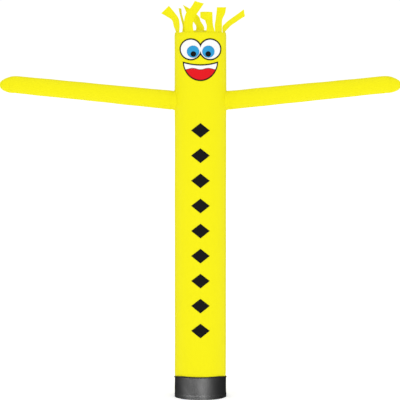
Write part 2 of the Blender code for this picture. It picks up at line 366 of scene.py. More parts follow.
RIPSTOP = ClothFinish("yellow_ripstop_nylon", "yellow_ripstop", (0.889, 0.825, 0.006))
COLLAR_CLOTH = ClothFinish(
    "coated_collar_cloth",
    "collar_cloth",
    (0.005, 0.005, 0.0053),
    roughness=0.55,
    gloss=0.9,
    thread=0.0011,
    rib=0.0,
    depth=0.00022,
    mottle=0.12,
)
TAPE_CLOTH = ClothFinish(
    "ribbed_edge_tape",
    "edge_tape",
    (0.008, 0.008, 0.0085),
    roughness=0.6,
    gloss=0.05,
    thread=0.0016,
    rib=0.0,
    depth=0.00025,
    mottle=0.1,
)
BLACK_CLOTH = ClothFinish(
    "black_ripstop", "black_cloth", (0.011, 0.011, 0.011), gloss=0.15, rib_shade=0.6
)
WHITE_CLOTH = ClothFinish("white_ripstop", "white_cloth", (0.93, 0.93, 0.93), mottle=0.01)
BLUE_CLOTH = ClothFinish("blue_ripstop", "blue_cloth", (0.032, 0.34, 0.66), mottle=0.05)
RED_CLOTH = ClothFinish("red_ripstop", "red_cloth", (0.765, 0.009, 0.014), mottle=0.04)
YELLOW_THREAD = ThreadFinish("yellow_thread", "yellow_ripstop", (0.83, 0.76, 0.008))
BLACK_THREAD = ThreadFinish("black_thread", "black_cloth", (0.014, 0.014, 0.014))
WHITE_THREAD = ThreadFinish("white_thread", "white_cloth", (0.86, 0.86, 0.86))
BLUE_THREAD = ThreadFinish("blue_thread", "blue_cloth", (0.028, 0.29, 0.64))
RED_THREAD = ThreadFinish("red_thread", "red_cloth", (0.68, 0.009, 0.014))
DARK_THREAD = ThreadFinish("dark_thread", "collar_cloth", (0.018, 0.018, 0.019))


# Meshes, stitches and folds


class Pattern:
    """Gathers grids of points, closes them into walls and makes one mesh of them."""

    def __init__(self, name: str) -> None:
        """Start an empty piece.

        Args:
            name: the piece's name.
        """
        self.name = name
        self.points: list[Array] = []
        self.corners: list[Array] = []
        self.maps: list[Array] = []
        self.count = 0

    def grid(self, points: Array, cloth: Array, keep: Array | None = None) -> None:
        """Add the faces between the neighbours of a grid, or of many grids at once.

        Args:
            points: places, shaped (..., rows, columns, 3).
            cloth: the cloth's map in metres, shaped (..., rows, columns, 2).
            keep: which cells are wanted, shaped (rows - 1, columns - 1), or all.
        """
        index = self.count + np.arange(points[..., 0].size).reshape(points.shape[:-1])
        corners = np.stack(
            [index[..., :-1, :-1], index[..., :-1, 1:], index[..., 1:, 1:], index[..., 1:, :-1]],
            axis=-1,
        )
        corners = corners[keep] if keep is not None else corners.reshape(-1, 4)
        self.points.append(points.reshape(-1, 3))
        self.maps.append(np.broadcast_to(cloth, (*points.shape[:-1], 2)).reshape(-1, 2))
        self.corners.append(corners)
        self.count += index.size

    def wall(
        self,
        outer: Array,
        inner: Array,
        cloth: Array,
        wrap: bool = False,
        keep: Array | None = None,
    ) -> None:
        """Close two matching grids into one thin wall, faces outward.

        Each rim is a strip between the two grids' borders. The signed volume, a sixth of
        the sum of each face's triple products, says whether all of it has to be turned.

        Args:
            outer: the outer grid, shaped (rows, columns, 3).
            inner: the inner grid, shaped alike.
            cloth: the cloth's map in metres, shaped (rows, columns, 2).
            wrap: whether the last column lies on the first, so that it needs no rim.
            keep: which cells are wanted, or all. A hole in them gets its rim elsewhere.
        """
        first = len(self.corners)
        self.grid(outer, cloth, keep)
        self.grid(inner, cloth, keep)
        self.corners[-1] = self.corners[-1][:, ::-1]
        self.grid(np.stack([inner[0], outer[0]]), np.stack([cloth[0], cloth[0]]))
        self.grid(np.stack([outer[-1], inner[-1]]), np.stack([cloth[-1], cloth[-1]]))
        if not wrap:
            low, high = cloth[:, 0], cloth[:, -1]
            self.grid(np.stack([inner[:, 0], outer[:, 0]], 1), np.stack([low, low], 1))
            self.grid(np.stack([outer[:, -1], inner[:, -1]], 1), np.stack([high, high], 1))
        self.face_out(first)

    def face_out(self, first: int) -> None:
        """Turn grids outward, if the sum of their faces' triple products is below nought.

        Args:
            first: the number of the first grid, the others being all that follow it.
        """
        places = np.concatenate(self.points)
        faces = np.concatenate(self.corners[first:])
        a, b, c, d = (places[faces[:, corner]] for corner in range(4))
        volume = (a * np.cross(b, c)).sum() + (a * np.cross(c, d)).sum()
        if volume < 0:
            self.corners[first:] = [part[:, ::-1] for part in self.corners[first:]]

    def make(self, finish: Finish, *nodes: str) -> bpy.types.Object:
        """Make the mesh object, merge its borders, and dress and place it.

        Args:
            finish: the cloth or thread that it is made of.
            nodes: the frame's nodes that it stands for.

        Returns:
            The finished piece.
        """
        corners = np.concatenate(self.corners)
        mesh = bpy.data.meshes.new(self.name)
        mesh.from_pydata(np.concatenate(self.points).tolist(), [], corners.tolist())
        layer = mesh.uv_layers.new(name=CLOTH_MAP)
        spread = np.concatenate(self.maps)[corners].astype(np.float32)
        layer.uv.foreach_set("vector", spread.ravel())
        shape = bmesh.new()
        shape.from_mesh(mesh)
        bmesh.ops.remove_doubles(shape, verts=shape.verts, dist=MERGE)
        shape.to_mesh(mesh)
        shape.free()
        mesh.shade_smooth()
        mesh.set_sharp_from_angle(angle=SHARP_EDGE)
        mesh.materials.append(finish.weave())
        piece = bpy.data.objects.new(self.name, mesh)
        bpy.context.scene.collection.objects.link(piece)
        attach(piece, BODY)
        if nodes:
            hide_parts(*nodes)
        LOG.info("%s: %d faces", self.name, len(mesh.polygons))
        return piece


def unit(vectors: Array) -> Array:
    """The same directions at length one, row by row."""
    return vectors / np.linalg.norm(vectors, axis=-1, keepdims=True)


def smooth(value: Array) -> Array:
    """The smooth step: three squares less two cubes, from 0 to 1."""
    value = np.clip(value, 0.0, 1.0)
    return value * value * (3.0 - 2.0 * value)


def bell(value: Array, width: float) -> Array:
    """The bell curve of a value, one at zero."""
    return np.exp(-((value / width) ** 2))


def from_angle(turn: Array, zero: float) -> Array:
    """The angle from a given one, from half a turn back to half a turn on."""
    return (turn - zero + math.pi) % math.tau - math.pi


@dataclass(frozen=True)
class Stitch:
    """One visible stitch of thread: its length, thickness and the gap to the next.

    It has four rings. Each has a place along it as a share of its length, then a radius
    and a height as shares of its thickness.
    """

    length: float = 0.003
    thick: float = 0.0007
    pitch: float = 0.0043
    lift: float = 0.0001
    sides: int = 6
    rings: tuple[Spot, ...] = (
        (-0.5, 0.0, -0.45),
        (-0.3, 0.5, 0.0),
        (0.3, 0.5, 0.0),
        (0.5, 0.0, -0.45),
    )

    def places(self, length: float) -> Array:
        """The middles of the stitches along a seam of that length."""
        count = max(int(length / self.pitch), 2)
        return (np.arange(count) + 0.5) * length / count

    def sew(self, pattern: Pattern, middle: Array, along: Array, out: Array) -> None:
        """Add one stitch at each place: four rings along it, the first and last a point.

        Args:
            pattern: the piece that the stitches join.
            middle: the stitches' middles, shaped (count, 3).
            along: the way that each runs, shaped alike.
            out: the way out of the cloth at each, shaped alike.
        """
        along = unit(along)
        out = unit(out - along * (out * along).sum(-1, keepdims=True))
        side = np.cross(along, out)
        along, out, side = (way[:, None, None] for way in (along, out, side))
        angle = np.linspace(0.0, math.tau, self.sides + 1)[:, None]
        reach, girth, height = np.array(self.rings).T[:, :, None, None]
        spot = middle[:, None, None] + reach * self.length * along
        spot = spot + (height * self.thick + self.lift) * out
        spot = spot + girth * self.thick * (np.cos(angle) * side + np.sin(angle) * out)
        first = len(pattern.corners)
        pattern.grid(spot, np.zeros(2))
        pattern.face_out(first)


@dataclass(frozen=True)
class Pucker:
    """Gathered cloth: a wave round an edge, and a second wave that is a share of it."""

    height: float
    waves: tuple[int, int]
    starts: tuple[float, float]
    second: float

    def wave(self, angle: Array) -> Array:
        """The relief at an angle round the edge: the sum of two cosines.

        Args:
            angle: the angle round the edge.

        Returns:
            The relief in metres.
        """
        one, two = (np.cos(n * angle + start) for n, start in zip(self.waves, self.starts))
        return self.height * (one + self.second * two)


@dataclass(frozen=True)
class Drift:
    """A long shallow wave that winds along a tube of cloth and swells and dies with it.

    Around is its waves in a turn, along and beat are in radians per metre.
    """

    height: float
    around: int
    along: float
    start: float
    beat: float
    beat_start: float

    def wave(self, angle: Array, length: Array) -> Array:
        """The relief at a point: the product of two sines.

        Args:
            angle: the angle round the tube of cloth.
            length: the length along it.

        Returns:
            The relief in metres.
        """
        winding = np.sin(self.around * angle + self.along * length + self.start)
        return self.height * winding * np.sin(self.beat * length + self.beat_start)


def across(place: Surface, first: Array, second: Array) -> tuple[Array, Array, Array, Array]:
    """Where a surface lies, and its two ways along and its way out.

    The ways are differences over a tenth of a millimetre, and out is their cross product.

    Args:
        place: the surface, a function of two lengths in metres.
        first: the first length of each point.
        second: the second length of each point.

    Returns:
        The points, the way along the first length, along the second, and out.
    """
    step = 1e-4
    here = place(first, second)
    one = unit(place(first + step, second) - here)
    two = unit(place(first, second + step) - here)
    return here, one, two, np.cross(one, two)


# The tube

COLLAR_RISE = 0.0122
COLLAR_RISE_START = 0.1
COLLAR_RISE_SPAN = 0.95


def collar_rise(turn: Array) -> Array:
    """How high the collar's top edge rises to the front: a smooth step of the cosine."""
    return COLLAR_RISE * smooth((np.cos(turn) + COLLAR_RISE_START) / COLLAR_RISE_SPAN)


@dataclass(frozen=True)
class Armhole:
    """A round hole in the tube's side that opens into a sleeve.

    Cells is half the side of the square of cells that is drawn round. Pull lines start
    and are full at distances from its middle, and fade away past a third one.
    """

    radius: float = 0.036
    height: float = 1.3475
    cells: int = 7
    seam_radius: float = 0.0495
    pull_start: float = 0.04
    pull_grows: float = 0.012
    pull_full: float = 0.045
    pull_fade: float = 0.03


@dataclass(frozen=True)
class Seam:
    """A flat seam: a raised strip of cloth with rounded long edges.

    It runs from its foot to its head's length short of the cloth's end. A greater
    squareness keeps it flat farther out towards its long edges.
    """

    width: float
    rise: float
    foot: float
    head: float
    columns: int
    rows: int
    squareness: int = 8
    edge: float = 0.00005
    under: float = 0.0002

    def height(self, share: Array) -> Array:
        """The strip's height across it, which falls with a high power of the share.

        Args:
            share: the share across, -1 at one long edge and 1 at the other.

        Returns:
            The height above the cloth.
        """
        return self.rise * (1 - share**self.squareness) + self.edge


@dataclass
class TubeCloth:
    """The upright tube: one piece of ripstop, joined down the back, with two armholes.

    The tape's edge is where the cloth comes out of the collar. Fades and grows are the
    lengths over which the puckers die away or begin.
    """

    radius: float = 0.115
    foot: float = 0.064
    top: float = 1.655
    wall: float = 0.0012
    columns: int = 160
    plain_rows: int = 175
    rows_under_armhole: int = 20
    lip_depth: float = 0.004
    lip_rows: tuple[float, ...] = (0.0024, 0.0012, 0.0005, 0.0001, 0.0)
    lip_insets: tuple[float, ...] = (0.0, 0.0001, 0.0003, 0.0005)
    tape_edge: float = 0.0905
    swell: float = 0.0015
    swell_grows: tuple[float, float] = (0.025, 0.02)
    crown_pucker: Pucker = Pucker(0.0009, (29, 43), (0.6, 2.1), 0.6)
    crown_pinch: float = 0.004
    crown_fade: float = 0.022
    foot_pucker: Pucker = Pucker(0.0008, (26, 39), (1.1, 0.3), 0.6)
    foot_grows: float = 0.012
    foot_fade: float = 0.026
    drifts: tuple[Drift, Drift] = (
        Drift(0.0005, 3, 2.6, 0.4, 4.1, 1.9),
        Drift(0.0004, 7, -5.3, 0.0, 9.7, 0.7),
    )
    seam: Seam = Seam(0.012, 0.0008, 0.0935, 0.003, 9, 320)
    seam_ripple: float = 0.00012
    seam_ripples: float = 210.0
    crown_rows: tuple[float, float] = (0.0048, 0.0115)
    back_rows: tuple[float, float] = (-0.0034, 0.0034)
    back_foot: float = 0.096
    back_head: float = 0.02
    armhole: Armhole = Armhole()
    stitch: Stitch = Stitch()

    def pull(self, turn: Array, height: Array) -> Array:
        """Pull lines: waves round each armhole that fade away from it.

        Args:
            turn: the angle from the very front, positive towards +X.
            height: the height above the ground.

        Returns:
            The relief in metres.
        """
        hole = self.armhole
        pull = np.zeros(np.broadcast(turn, height).shape)
        for side in (-1.0, 1.0):
            gap = self.radius * from_angle(turn, side * QUARTER)
            rise = height - hole.height
            away = np.hypot(gap, rise)
            lines = Pucker(height=0.0008, waves=(19, 31), starts=(side, 0.8), second=0.5)
            wave = lines.wave(np.arctan2(rise, gap * side))
            fade = np.exp(-np.clip(away - hole.pull_full, 0.0, None) / hole.pull_fade)
            pull = pull + wave * fade * smooth((away - hole.pull_start) / hole.pull_grows)
        return pull

    def relief(self, turn: Array, height: Array) -> Array:
        """How far the blown-up cloth stands off a true cylinder.

        Puckers are waves round the tube that fade away from the crown and the collar.
        Pull lines run from the armholes. Two long, very shallow waves make the rest
        uneven. All of it swells out a little between the collar and the crown.

        Args:
            turn: the angle from the very front, positive towards +X.
            height: the height above the ground.

        Returns:
            The relief in metres.
        """
        down = self.top - height
        up = height - self.tape_edge - collar_rise(turn)
        crown = self.crown_pucker.wave(turn) * down / (down + self.crown_pinch)
        crown = crown * np.exp(-np.abs(down) / self.crown_fade)
        foot = self.foot_pucker.wave(turn) * smooth(up / self.foot_grows)
        foot = foot * np.exp(-np.abs(up) / self.foot_fade)
        long = sum(drift.wave(turn, height) for drift in self.drifts)
        low, high = self.swell_grows
        swell = self.swell * smooth(up / low) * smooth(down / high)
        return swell + crown + foot + long + self.pull(turn, height)

    def place(self, turn: Array, height: Array, lift: Array | float = 0.0) -> Array:
        """A point on the tube's cloth: the radius with its relief, turned to an angle.

        Args:
            turn: the angle from the very front, positive towards +X.
            height: the height above the ground.
            lift: how far the point stands off the cloth.

        Returns:
            The points, with a last axis of three.
        """
        reach = self.radius + self.relief(turn, height) + lift
        return np.stack([reach * np.sin(turn), -reach * np.cos(turn), height + 0.0 * turn], -1)

    def on_cloth(self, lift: float = 0.0) -> Surface:
        """The cloth as a function of two lengths: round the tube from the front, and up."""
        return lambda round_, height: self.place(round_ / self.radius, height, lift)

    def rows(self) -> Array:
        """The heights of the grid's rows.

        They are a square cell apart from a little under the armholes up, a little wider
        apart down the long plain stretch below, and close together at the top edge.

        Returns:
            The heights, rising.
        """
        cell = math.tau * self.radius / self.columns
        middle = self.armhole.height
        above = int((self.top - self.lip_depth - middle) / cell)
        square = middle + cell * np.arange(-self.rows_under_armhole, above + 1)
        plain = np.linspace(self.foot, square[0], self.plain_rows, endpoint=False)
        return np.concatenate([plain, square, self.top - np.array(self.lip_rows)])

    def drawn_round_armholes(self, turn: Array, height: Array) -> tuple[Array, Array, Array]:
        """Move the grid's lines so that a square of cells becomes each round armhole.

        At a distance q from the armhole's middle, measured as a square's half side, a
        line is moved from its square to a circle. The move fades out at twice the hole.

        Args:
            turn: the grid's angles.
            height: the grid's heights.

        Returns:
            The moved angles and heights, and which cells lie outside the holes.
        """
        cell = math.tau * self.radius / self.columns
        edge = self.armhole.cells * cell
        hole = np.zeros(turn.shape, bool)
        for side in (-1.0, 1.0):
            gap = self.radius * (turn - side * QUARTER)
            rise = height - self.armhole.height
            square = np.maximum(np.abs(gap), np.abs(rise))
            away = np.maximum(np.hypot(gap, rise), 1e-9)
            share = np.clip((2 * edge - square) / edge, 0.0, 1.0)
            wide = (self.armhole.radius + square - edge) / away
            scale = np.where(square < 2 * edge, 1 + share * (wide - 1), 1.0)
            turn = side * QUARTER + gap * scale / self.radius
            height = self.armhole.height + rise * scale
            hole |= square < edge - 0.01 * cell
        cells = hole[:-1, :-1] | hole[1:, 1:] | hole[:-1, 1:] | hole[1:, :-1]
        return turn, height, ~cells

    def add_armhole_rims(self, pattern: Pattern, outer: Array, inner: Array, cloth: Array) -> None:
        """Close the wall round each armhole with a strip between the two skins.

        Args:
            pattern: the piece that the rims join.
            outer: the outer skin's grid.
            inner: the inner skin's grid.
            cloth: the cloth's map.
        """
        reach = self.armhole.cells
        middle = int(np.argmin(np.abs(self.rows() - self.armhole.height)))
        go = np.arange(-reach, reach)
        rows = np.concatenate([-reach + 0 * go, go, reach + 0 * go, -go, [-reach]]) + middle
        turns = np.concatenate([go, reach + 0 * go, -go, -reach + 0 * go, [-reach]])
        for quarter in (1, 3):
            columns = turns + quarter * self.columns // 4
            rim = np.stack([outer[rows, columns], inner[rows, columns]])
            pattern.grid(rim, np.stack([cloth[rows, columns]] * 2))

    def build_cloth(self) -> bpy.types.Object:
        """The tube's wall with its armholes, and the flat seam down the back.

        Returns:
            The tube's cloth.
        """
        turn = np.linspace(-math.pi, math.pi, self.columns + 1)
        turn, height, keep = self.drawn_round_armholes(*np.meshgrid(turn, self.rows()))
        lip = np.zeros(turn.shape)
        lip[-len(self.lip_insets) :] = np.array(self.lip_insets)[:, None]
        outer = self.place(turn, height, -lip)
        inner = self.place(turn, height, lip - self.wall)
        cloth = np.stack([turn * self.radius, height], -1)
        pattern = Pattern("tube_cloth")
        pattern.wall(outer, inner, cloth, wrap=True, keep=keep)
        self.add_armhole_rims(pattern, outer, inner, cloth)
        self.add_seam(pattern)
        piece = pattern.make(RIPSTOP, "body_tube")
        return piece

    def add_seam(self, pattern: Pattern) -> None:
        """The flat seam: a strip up the back whose height falls off at its long edges.

        Args:
            pattern: the piece that the seam joins.
        """
        seam = self.seam
        share = np.linspace(-1.0, 1.0, seam.columns)
        heights = np.linspace(seam.foot, self.top - seam.head, seam.rows)
        offset, height = np.meshgrid(share * seam.width / 2, heights)
        turn = math.pi + offset / self.radius
        ripple = self.seam_ripple * np.sin(height * self.seam_ripples) * (1 - share**2)
        rise = seam.height(share) + ripple
        cloth = np.stack([offset, height], -1)
        outer, inner = self.place(turn, height, rise), self.place(turn, height, -seam.under)
        pattern.wall(outer, inner, cloth)

    def build_stitches(self) -> bpy.types.Object:
        """Two rows round the crown's edge, two down the back and one round each armhole.

        Returns:
            The tube's stitches.
        """
        pattern = Pattern("tube_stitches")
        around = math.tau * self.radius
        for down in self.crown_rows:
            run = self.stitch.places(around) - around / 2
            height = np.full(run.shape, self.top - down)
            here, along, _, out = across(self.on_cloth(), run, height)
            self.stitch.sew(pattern, here, along, out)
        back = self.stitch.places(self.top - self.back_head - self.back_foot) + self.back_foot
        for gap in self.back_rows:
            spot = np.full(back.shape, around / 2 + gap)
            here, _, along, out = across(self.on_cloth(self.seam.rise), spot, back)
            self.stitch.sew(pattern, here, along, out)
        ring = self.armhole.seam_radius
        for side in (-1, 1):
            angle = self.stitch.places(math.tau * ring) / ring
            gap = side * around / 4 + ring * np.cos(angle)
            height = self.armhole.height + ring * np.sin(angle)
            here, one, two, out = across(self.on_cloth(), gap, height)
            along = np.cos(angle)[:, None] * two - np.sin(angle)[:, None] * one
            self.stitch.sew(pattern, here, along, out)
        return pattern.make(YELLOW_THREAD)

    def build(self) -> list[bpy.types.Object]:
        """Make the tube's pieces."""
        return [self.build_cloth(), self.build_stitches()]


# The sleeves


@dataclass
class Sleeve:
    """One long sleeve, seamed underneath, closed by a small round panel at its end.

    Its own x axis rises outward. Reach is how far out it ends, cap is the oval end's
    length, and droop is how far the end sinks over the droop's length. Seat is the tube's
    radius where the sleeve's root lies. The end's puckers stand about their place before
    the end, and all unevenness dies away over the last of the oval end's narrowing, the
    sooner the greater its hold. Phase makes the two sleeves differ.
    """

    word: str
    side: int
    radius: float = 0.0422
    tip_radius: float = 0.0384
    reach: float = 0.9125
    cap: float = 0.075
    droop: float = 0.007
    droop_length: float = 0.09
    height: float = 1.3375
    rise: float = math.radians(5.7)
    taper_from: float = 0.115
    flare: float = 0.0035
    flare_end: float = 0.127
    seat: float = 0.1164
    wall: float = 0.001
    columns: int = 72
    flare_rows: int = 9
    plain_rows: int = 128
    end_rows: int = 22
    root_start: float = 0.118
    root_grows: float = 0.014
    root_full: float = 0.125
    root_fade: float = 0.028
    end_place: float = 0.05
    end_spread: float = 0.018
    end_grows: float = 0.006
    end_hold: float = 3.0
    drift_grows: tuple[float, float] = (0.04, 0.06)
    seam: Seam = Seam(0.01, 0.0007, 0.13, 0.004, 7, 160, squareness=6)
    root_row: float = 0.1315
    end_row: float = 0.35
    under_rows: tuple[float, float] = (-0.0027, 0.0027)
    under_row_start: float = 0.132
    under_row_short: float = 0.14
    flat_allowance: float = 0.04
    phase: float = 0.0
    stitch: Stitch = Stitch()

    @property
    def centre(self) -> float:
        """How far out the oval end begins."""
        return self.reach - self.cap

    def girth(self, out: Array) -> Array:
        """The sleeve's radius: an even taper, then an oval end.

        Args:
            out: the distance from the tube's axis.

        Returns:
            The radius there.
        """
        taper = np.clip((out - self.taper_from) / (self.centre - self.taper_from), 0.0, 1.0)
        body = self.radius - (self.radius - self.tip_radius) * taper
        over = np.clip((out - self.centre) / self.cap, 0.0, 1.0)
        return np.where(out > self.centre, self.tip_radius * np.sqrt(1 - over**2), body)

    def relief(self, out: Array, angle: Array) -> Array:
        """How far the cloth stands off the plain shape.

        Puckers stand at the root and just before the end panel, and two long waves make
        the stretch between uneven.

        Args:
            out: the distance from the tube's axis.
            angle: the angle round the sleeve.

        Returns:
            The relief in metres.
        """
        gathers = Pucker(height=0.0007, waves=(17, 26), starts=(self.phase, 2.0), second=0.6)
        root = gathers.wave(angle) * smooth((out - self.root_start) / self.root_grows)
        root = root * np.exp(-np.clip(out - self.root_full, 0, None) / self.root_fade)
        last = self.reach - out
        gathers = Pucker(height=0.0006, waves=(19, 27), starts=(0.9, self.phase), second=0.5)
        end = gathers.wave(angle) * bell(last - self.end_place, self.end_spread)
        end = end * smooth(last / self.end_grows)
        drifts = (
            Drift(0.0005, around=2, along=11.0, start=self.phase, beat=23.0, beat_start=0.8),
            Drift(0.0004, around=5, along=-17.0, start=0.0, beat=31.0, beat_start=self.phase),
        )
        long = sum(drift.wave(angle, out) for drift in drifts)
        near, far = self.drift_grows
        return root + end + long * smooth(last / far) * smooth((out - self.taper_from) / near)

    def place(self, out: Array, angle: Array, girth: Array) -> Array:
        """A point of the sleeve: a circle about the rising axis, lowered near the end.

        Args:
            out: the distance from the tube's axis.
            angle: the angle round the sleeve.
            girth: the radius there.

        Returns:
            The points, with a last axis of three.
        """
        up = girth * np.sin(angle)
        x = out * math.cos(self.rise) - up * math.sin(self.rise)
        z = self.height + out * math.sin(self.rise) + up * math.cos(self.rise)
        z = z - self.droop * smooth(1 - (self.reach - out) / self.droop_length)
        return np.stack([self.side * x, girth * np.cos(angle), z], -1)

    def root(self, angle: Array) -> Array:
        """Where the sleeve's edge meets the tube's wall, a circle cut by a cylinder.

        Args:
            angle: the angle round the sleeve.

        Returns:
            The distance out, at each angle.
        """
        edge = self.radius + self.flare
        x = np.sqrt(self.seat**2 - (edge * np.cos(angle)) ** 2)
        return (x + edge * np.sin(angle) * math.sin(self.rise)) / math.cos(self.rise)

    def skin(self, inset: float) -> tuple[Array, Array]:
        """One skin of the sleeve, from its root to its closed end.

        The first rows run from the tube's wall into the sleeve along a hollow curve. The
        last rows go round the end in equal angles, to one point.

        Args:
            inset: how far the skin lies inside the outer one.

        Returns:
            The points and the cloth's map.
        """
        angle = np.linspace(-QUARTER, 3 * QUARTER, self.columns + 1)[None]
        share = np.linspace(0.0, 1.0, self.flare_rows)[:, None]
        near = self.root(angle) * (1 - share) + self.flare_end * share
        widen = self.flare * (1 - share) ** 2
        plain = np.linspace(self.flare_end, self.centre, self.plain_rows)[1:, None] + 0 * angle
        turns = QUARTER * np.arange(1, self.end_rows + 1)[:, None] / self.end_rows
        end = self.centre + (self.cap - inset) * np.sin(turns) + 0 * angle
        oval = (self.tip_radius - inset) * np.cos(turns) + 0 * angle
        out = np.vstack([near, plain, end])
        girth = np.vstack([self.girth(near) + widen - inset, self.girth(plain) - inset, oval])
        fall = np.vstack([np.ones(near.shape), np.ones(plain.shape), np.cos(turns) + 0 * angle])
        held = smooth(fall * self.end_hold)
        girth = np.maximum(girth + self.relief(out, angle) * held, 0.0)
        girth[-1] = 0.0
        points = self.place(out, angle, girth)
        step = np.linalg.norm(np.diff(points[:, 0], axis=0), axis=-1)
        along = np.concatenate([[0.0], np.cumsum(step)])[:, None]
        return points, np.stack([self.radius * angle + 0 * along, along + 0 * angle], -1)

    def build(self) -> list[bpy.types.Object]:
        """Make the sleeve.

        Returns:
            The sleeve's cloth and its stitches.
        """
        pattern = Pattern(f"sleeve_cloth_{self.word}")
        outer, cloth = self.skin(0.0)
        inner, _ = self.skin(self.wall)
        pattern.wall(outer, inner, cloth, wrap=True)
        self.add_seam(pattern)
        piece = pattern.make(RIPSTOP, f"sleeve_{self.word}")
        return [piece, self.build_stitches()]

    def add_seam(self, pattern: Pattern) -> None:
        """The flat seam along the sleeve's underside, lower at its long edges.

        Args:
            pattern: the piece that the seam joins.
        """
        seam = self.seam
        share = np.linspace(-1.0, 1.0, seam.columns)
        run = np.linspace(seam.foot, self.centre - seam.head, seam.rows)
        offset, out = np.meshgrid(share * seam.width / 2, run)
        angle = offset / self.radius - QUARTER
        base = self.girth(out) + self.relief(out, angle)
        rise = seam.height(share)
        cloth = np.stack([offset, out], -1)
        outer, inner = self.place(out, angle, base + rise), self.place(out, angle, base - seam.under)
        pattern.wall(outer, inner, cloth)

    def on_cloth(self, lift: float) -> Surface:
        """The sleeve as a surface, lifted off the cloth.

        Args:
            lift: how far it is lifted.

        Returns:
            The function of two lengths: out, and round it from underneath.
        """

        def place(out: Array, round_: Array) -> Array:
            """The point at two lengths."""
            angle = round_ / self.radius - QUARTER
            return self.place(out, angle, self.girth(out) + self.relief(out, angle) + lift)

        return place

    def build_stitches(self) -> bpy.types.Object:
        """One row round the root, one round the end panel and two along the underside.

        Returns:
            The sleeve's stitches.
        """
        pattern = Pattern(f"sleeve_stitches_{self.word}")
        for out in (self.root_row, self.centre + self.cap * self.end_row):
            run = self.stitch.places(math.tau * self.radius)
            here, _, along, normal = across(self.on_cloth(0.0), np.full(run.shape, out), run)
            self.stitch.sew(pattern, here, along, normal * -self.side)
        surface = self.on_cloth(self.seam.rise)
        run = self.stitch.places(self.centre - self.under_row_short) + self.under_row_start
        for gap in self.under_rows:
            here, along, _, normal = across(surface, run, np.full(run.shape, gap))
            self.stitch.sew(pattern, here, along, normal * -self.side)
        return pattern.make(YELLOW_THREAD)


# The hair


@dataclass(frozen=True)
class Lock:
    """One ribbon of hair, laid out by its two edges as they are seen from the front.

    Around is the root's place in degrees from the very front, positive towards +X. Depth
    is the y value of the tip's middle. The edges are pairs of x and z in metres, from a
    little above the root to the corners of the cut end. Flutter is where its waves start.
    """

    around: float
    width: float
    depth: float
    left: Edge
    right: Edge
    flutter: float


LOCKS = (
    Lock(
        -70,
        0.047,
        -0.052,
        ((-0.1206, 1.6807), (-0.1280, 1.7089), (-0.1519, 1.7263), (-0.1763, 1.7404)),
        ((-0.0946, 1.6845), (-0.0978, 1.7166), (-0.1197, 1.7486), (-0.1415, 1.7743)),
        0.3,
    ),
    Lock(
        -143,
        0.040,
        0.116,
        ((-0.0814, 1.6854), (-0.0894, 1.7168), (-0.0949, 1.7403), (-0.0994, 1.7664)),
        ((-0.0705, 1.6854), (-0.0784, 1.7168), (-0.0836, 1.7403), (-0.0873, 1.7643)),
        1.4,
    ),
    Lock(
        -27,
        0.044,
        -0.113,
        (
            (-0.0735, 1.6842),
            (-0.0722, 1.7148),
            (-0.0625, 1.7441),
            (-0.0435, 1.7657),
            (-0.0255, 1.7952),
        ),
        (
            (-0.0348, 1.6842),
            (-0.0302, 1.7097),
            (-0.0194, 1.7321),
            (-0.0038, 1.7555),
            (0.0159, 1.7830),
        ),
        2.2,
    ),
    Lock(
        -178,
        0.038,
        0.128,
        (
            (-0.0195, 1.6777),
            (-0.0313, 1.7012),
            (-0.0471, 1.7248),
            (-0.0615, 1.7452),
            (-0.0665, 1.7536),
        ),
        (
            (0.0173, 1.6751),
            (0.0004, 1.7085),
            (-0.0062, 1.7262),
            (-0.0471, 1.7601),
            (-0.0811, 1.7802),
        ),
        3.1,
    ),
    Lock(
        24,
        0.042,
        -0.126,
        (
            (0.0283, 1.6841),
            (0.0240, 1.6989),
            (0.0222, 1.7050),
            (0.0200, 1.7085),
            (0.0150, 1.7115),
            (0.0085, 1.7145),
            (-0.0012, 1.7200),
        ),
        (
            (0.0573, 1.6867),
            (0.0538, 1.7172),
            (0.0532, 1.7352),
            (0.0524, 1.7452),
            (0.0430, 1.7466),
            (0.0256, 1.7468),
            (-0.0012, 1.7464),
        ),
        4.0,
    ),
    Lock(
        47.5,
        0.046,
        -0.088,
        ((0.0648, 1.6843), (0.0688, 1.7137), (0.0708, 1.7392), (0.0724, 1.7673)),
        ((0.0970, 1.6843), (0.0980, 1.7150), (0.1098, 1.7392), (0.1159, 1.7673)),
        4.7,
    ),
    Lock(
        73,
        0.042,
        -0.028,
        ((0.0995, 1.6775), (0.1112, 1.6944), (0.1446, 1.7225), (0.1941, 1.7584)),
        ((0.1176, 1.6641), (0.1349, 1.6826), (0.1640, 1.7039), (0.2006, 1.7276)),
        5.6,
    ),
)


def curve(knots: Array, points: Array, at: Array) -> Array:
    """A smooth curve through points: cubic pieces with slopes from the neighbours.

    Args:
        knots: each point's place along the curve, rising.
        points: the points, shaped (count, 3).
        at: the places to read.

    Returns:
        The curve's points, with a last axis of three.
    """
    slope = np.gradient(points, knots, axis=0)
    piece = np.clip(np.searchsorted(knots, at) - 1, 0, len(knots) - 2)
    span = (knots[piece + 1] - knots[piece])[..., None]
    t = (at - knots[piece])[..., None] / span
    rest = 1 - t
    first = rest * rest * ((1 + 2 * t) * points[piece] + t * span * slope[piece])
    return first + t * t * ((3 - 2 * t) * points[piece + 1] - rest * span * slope[piece + 1])


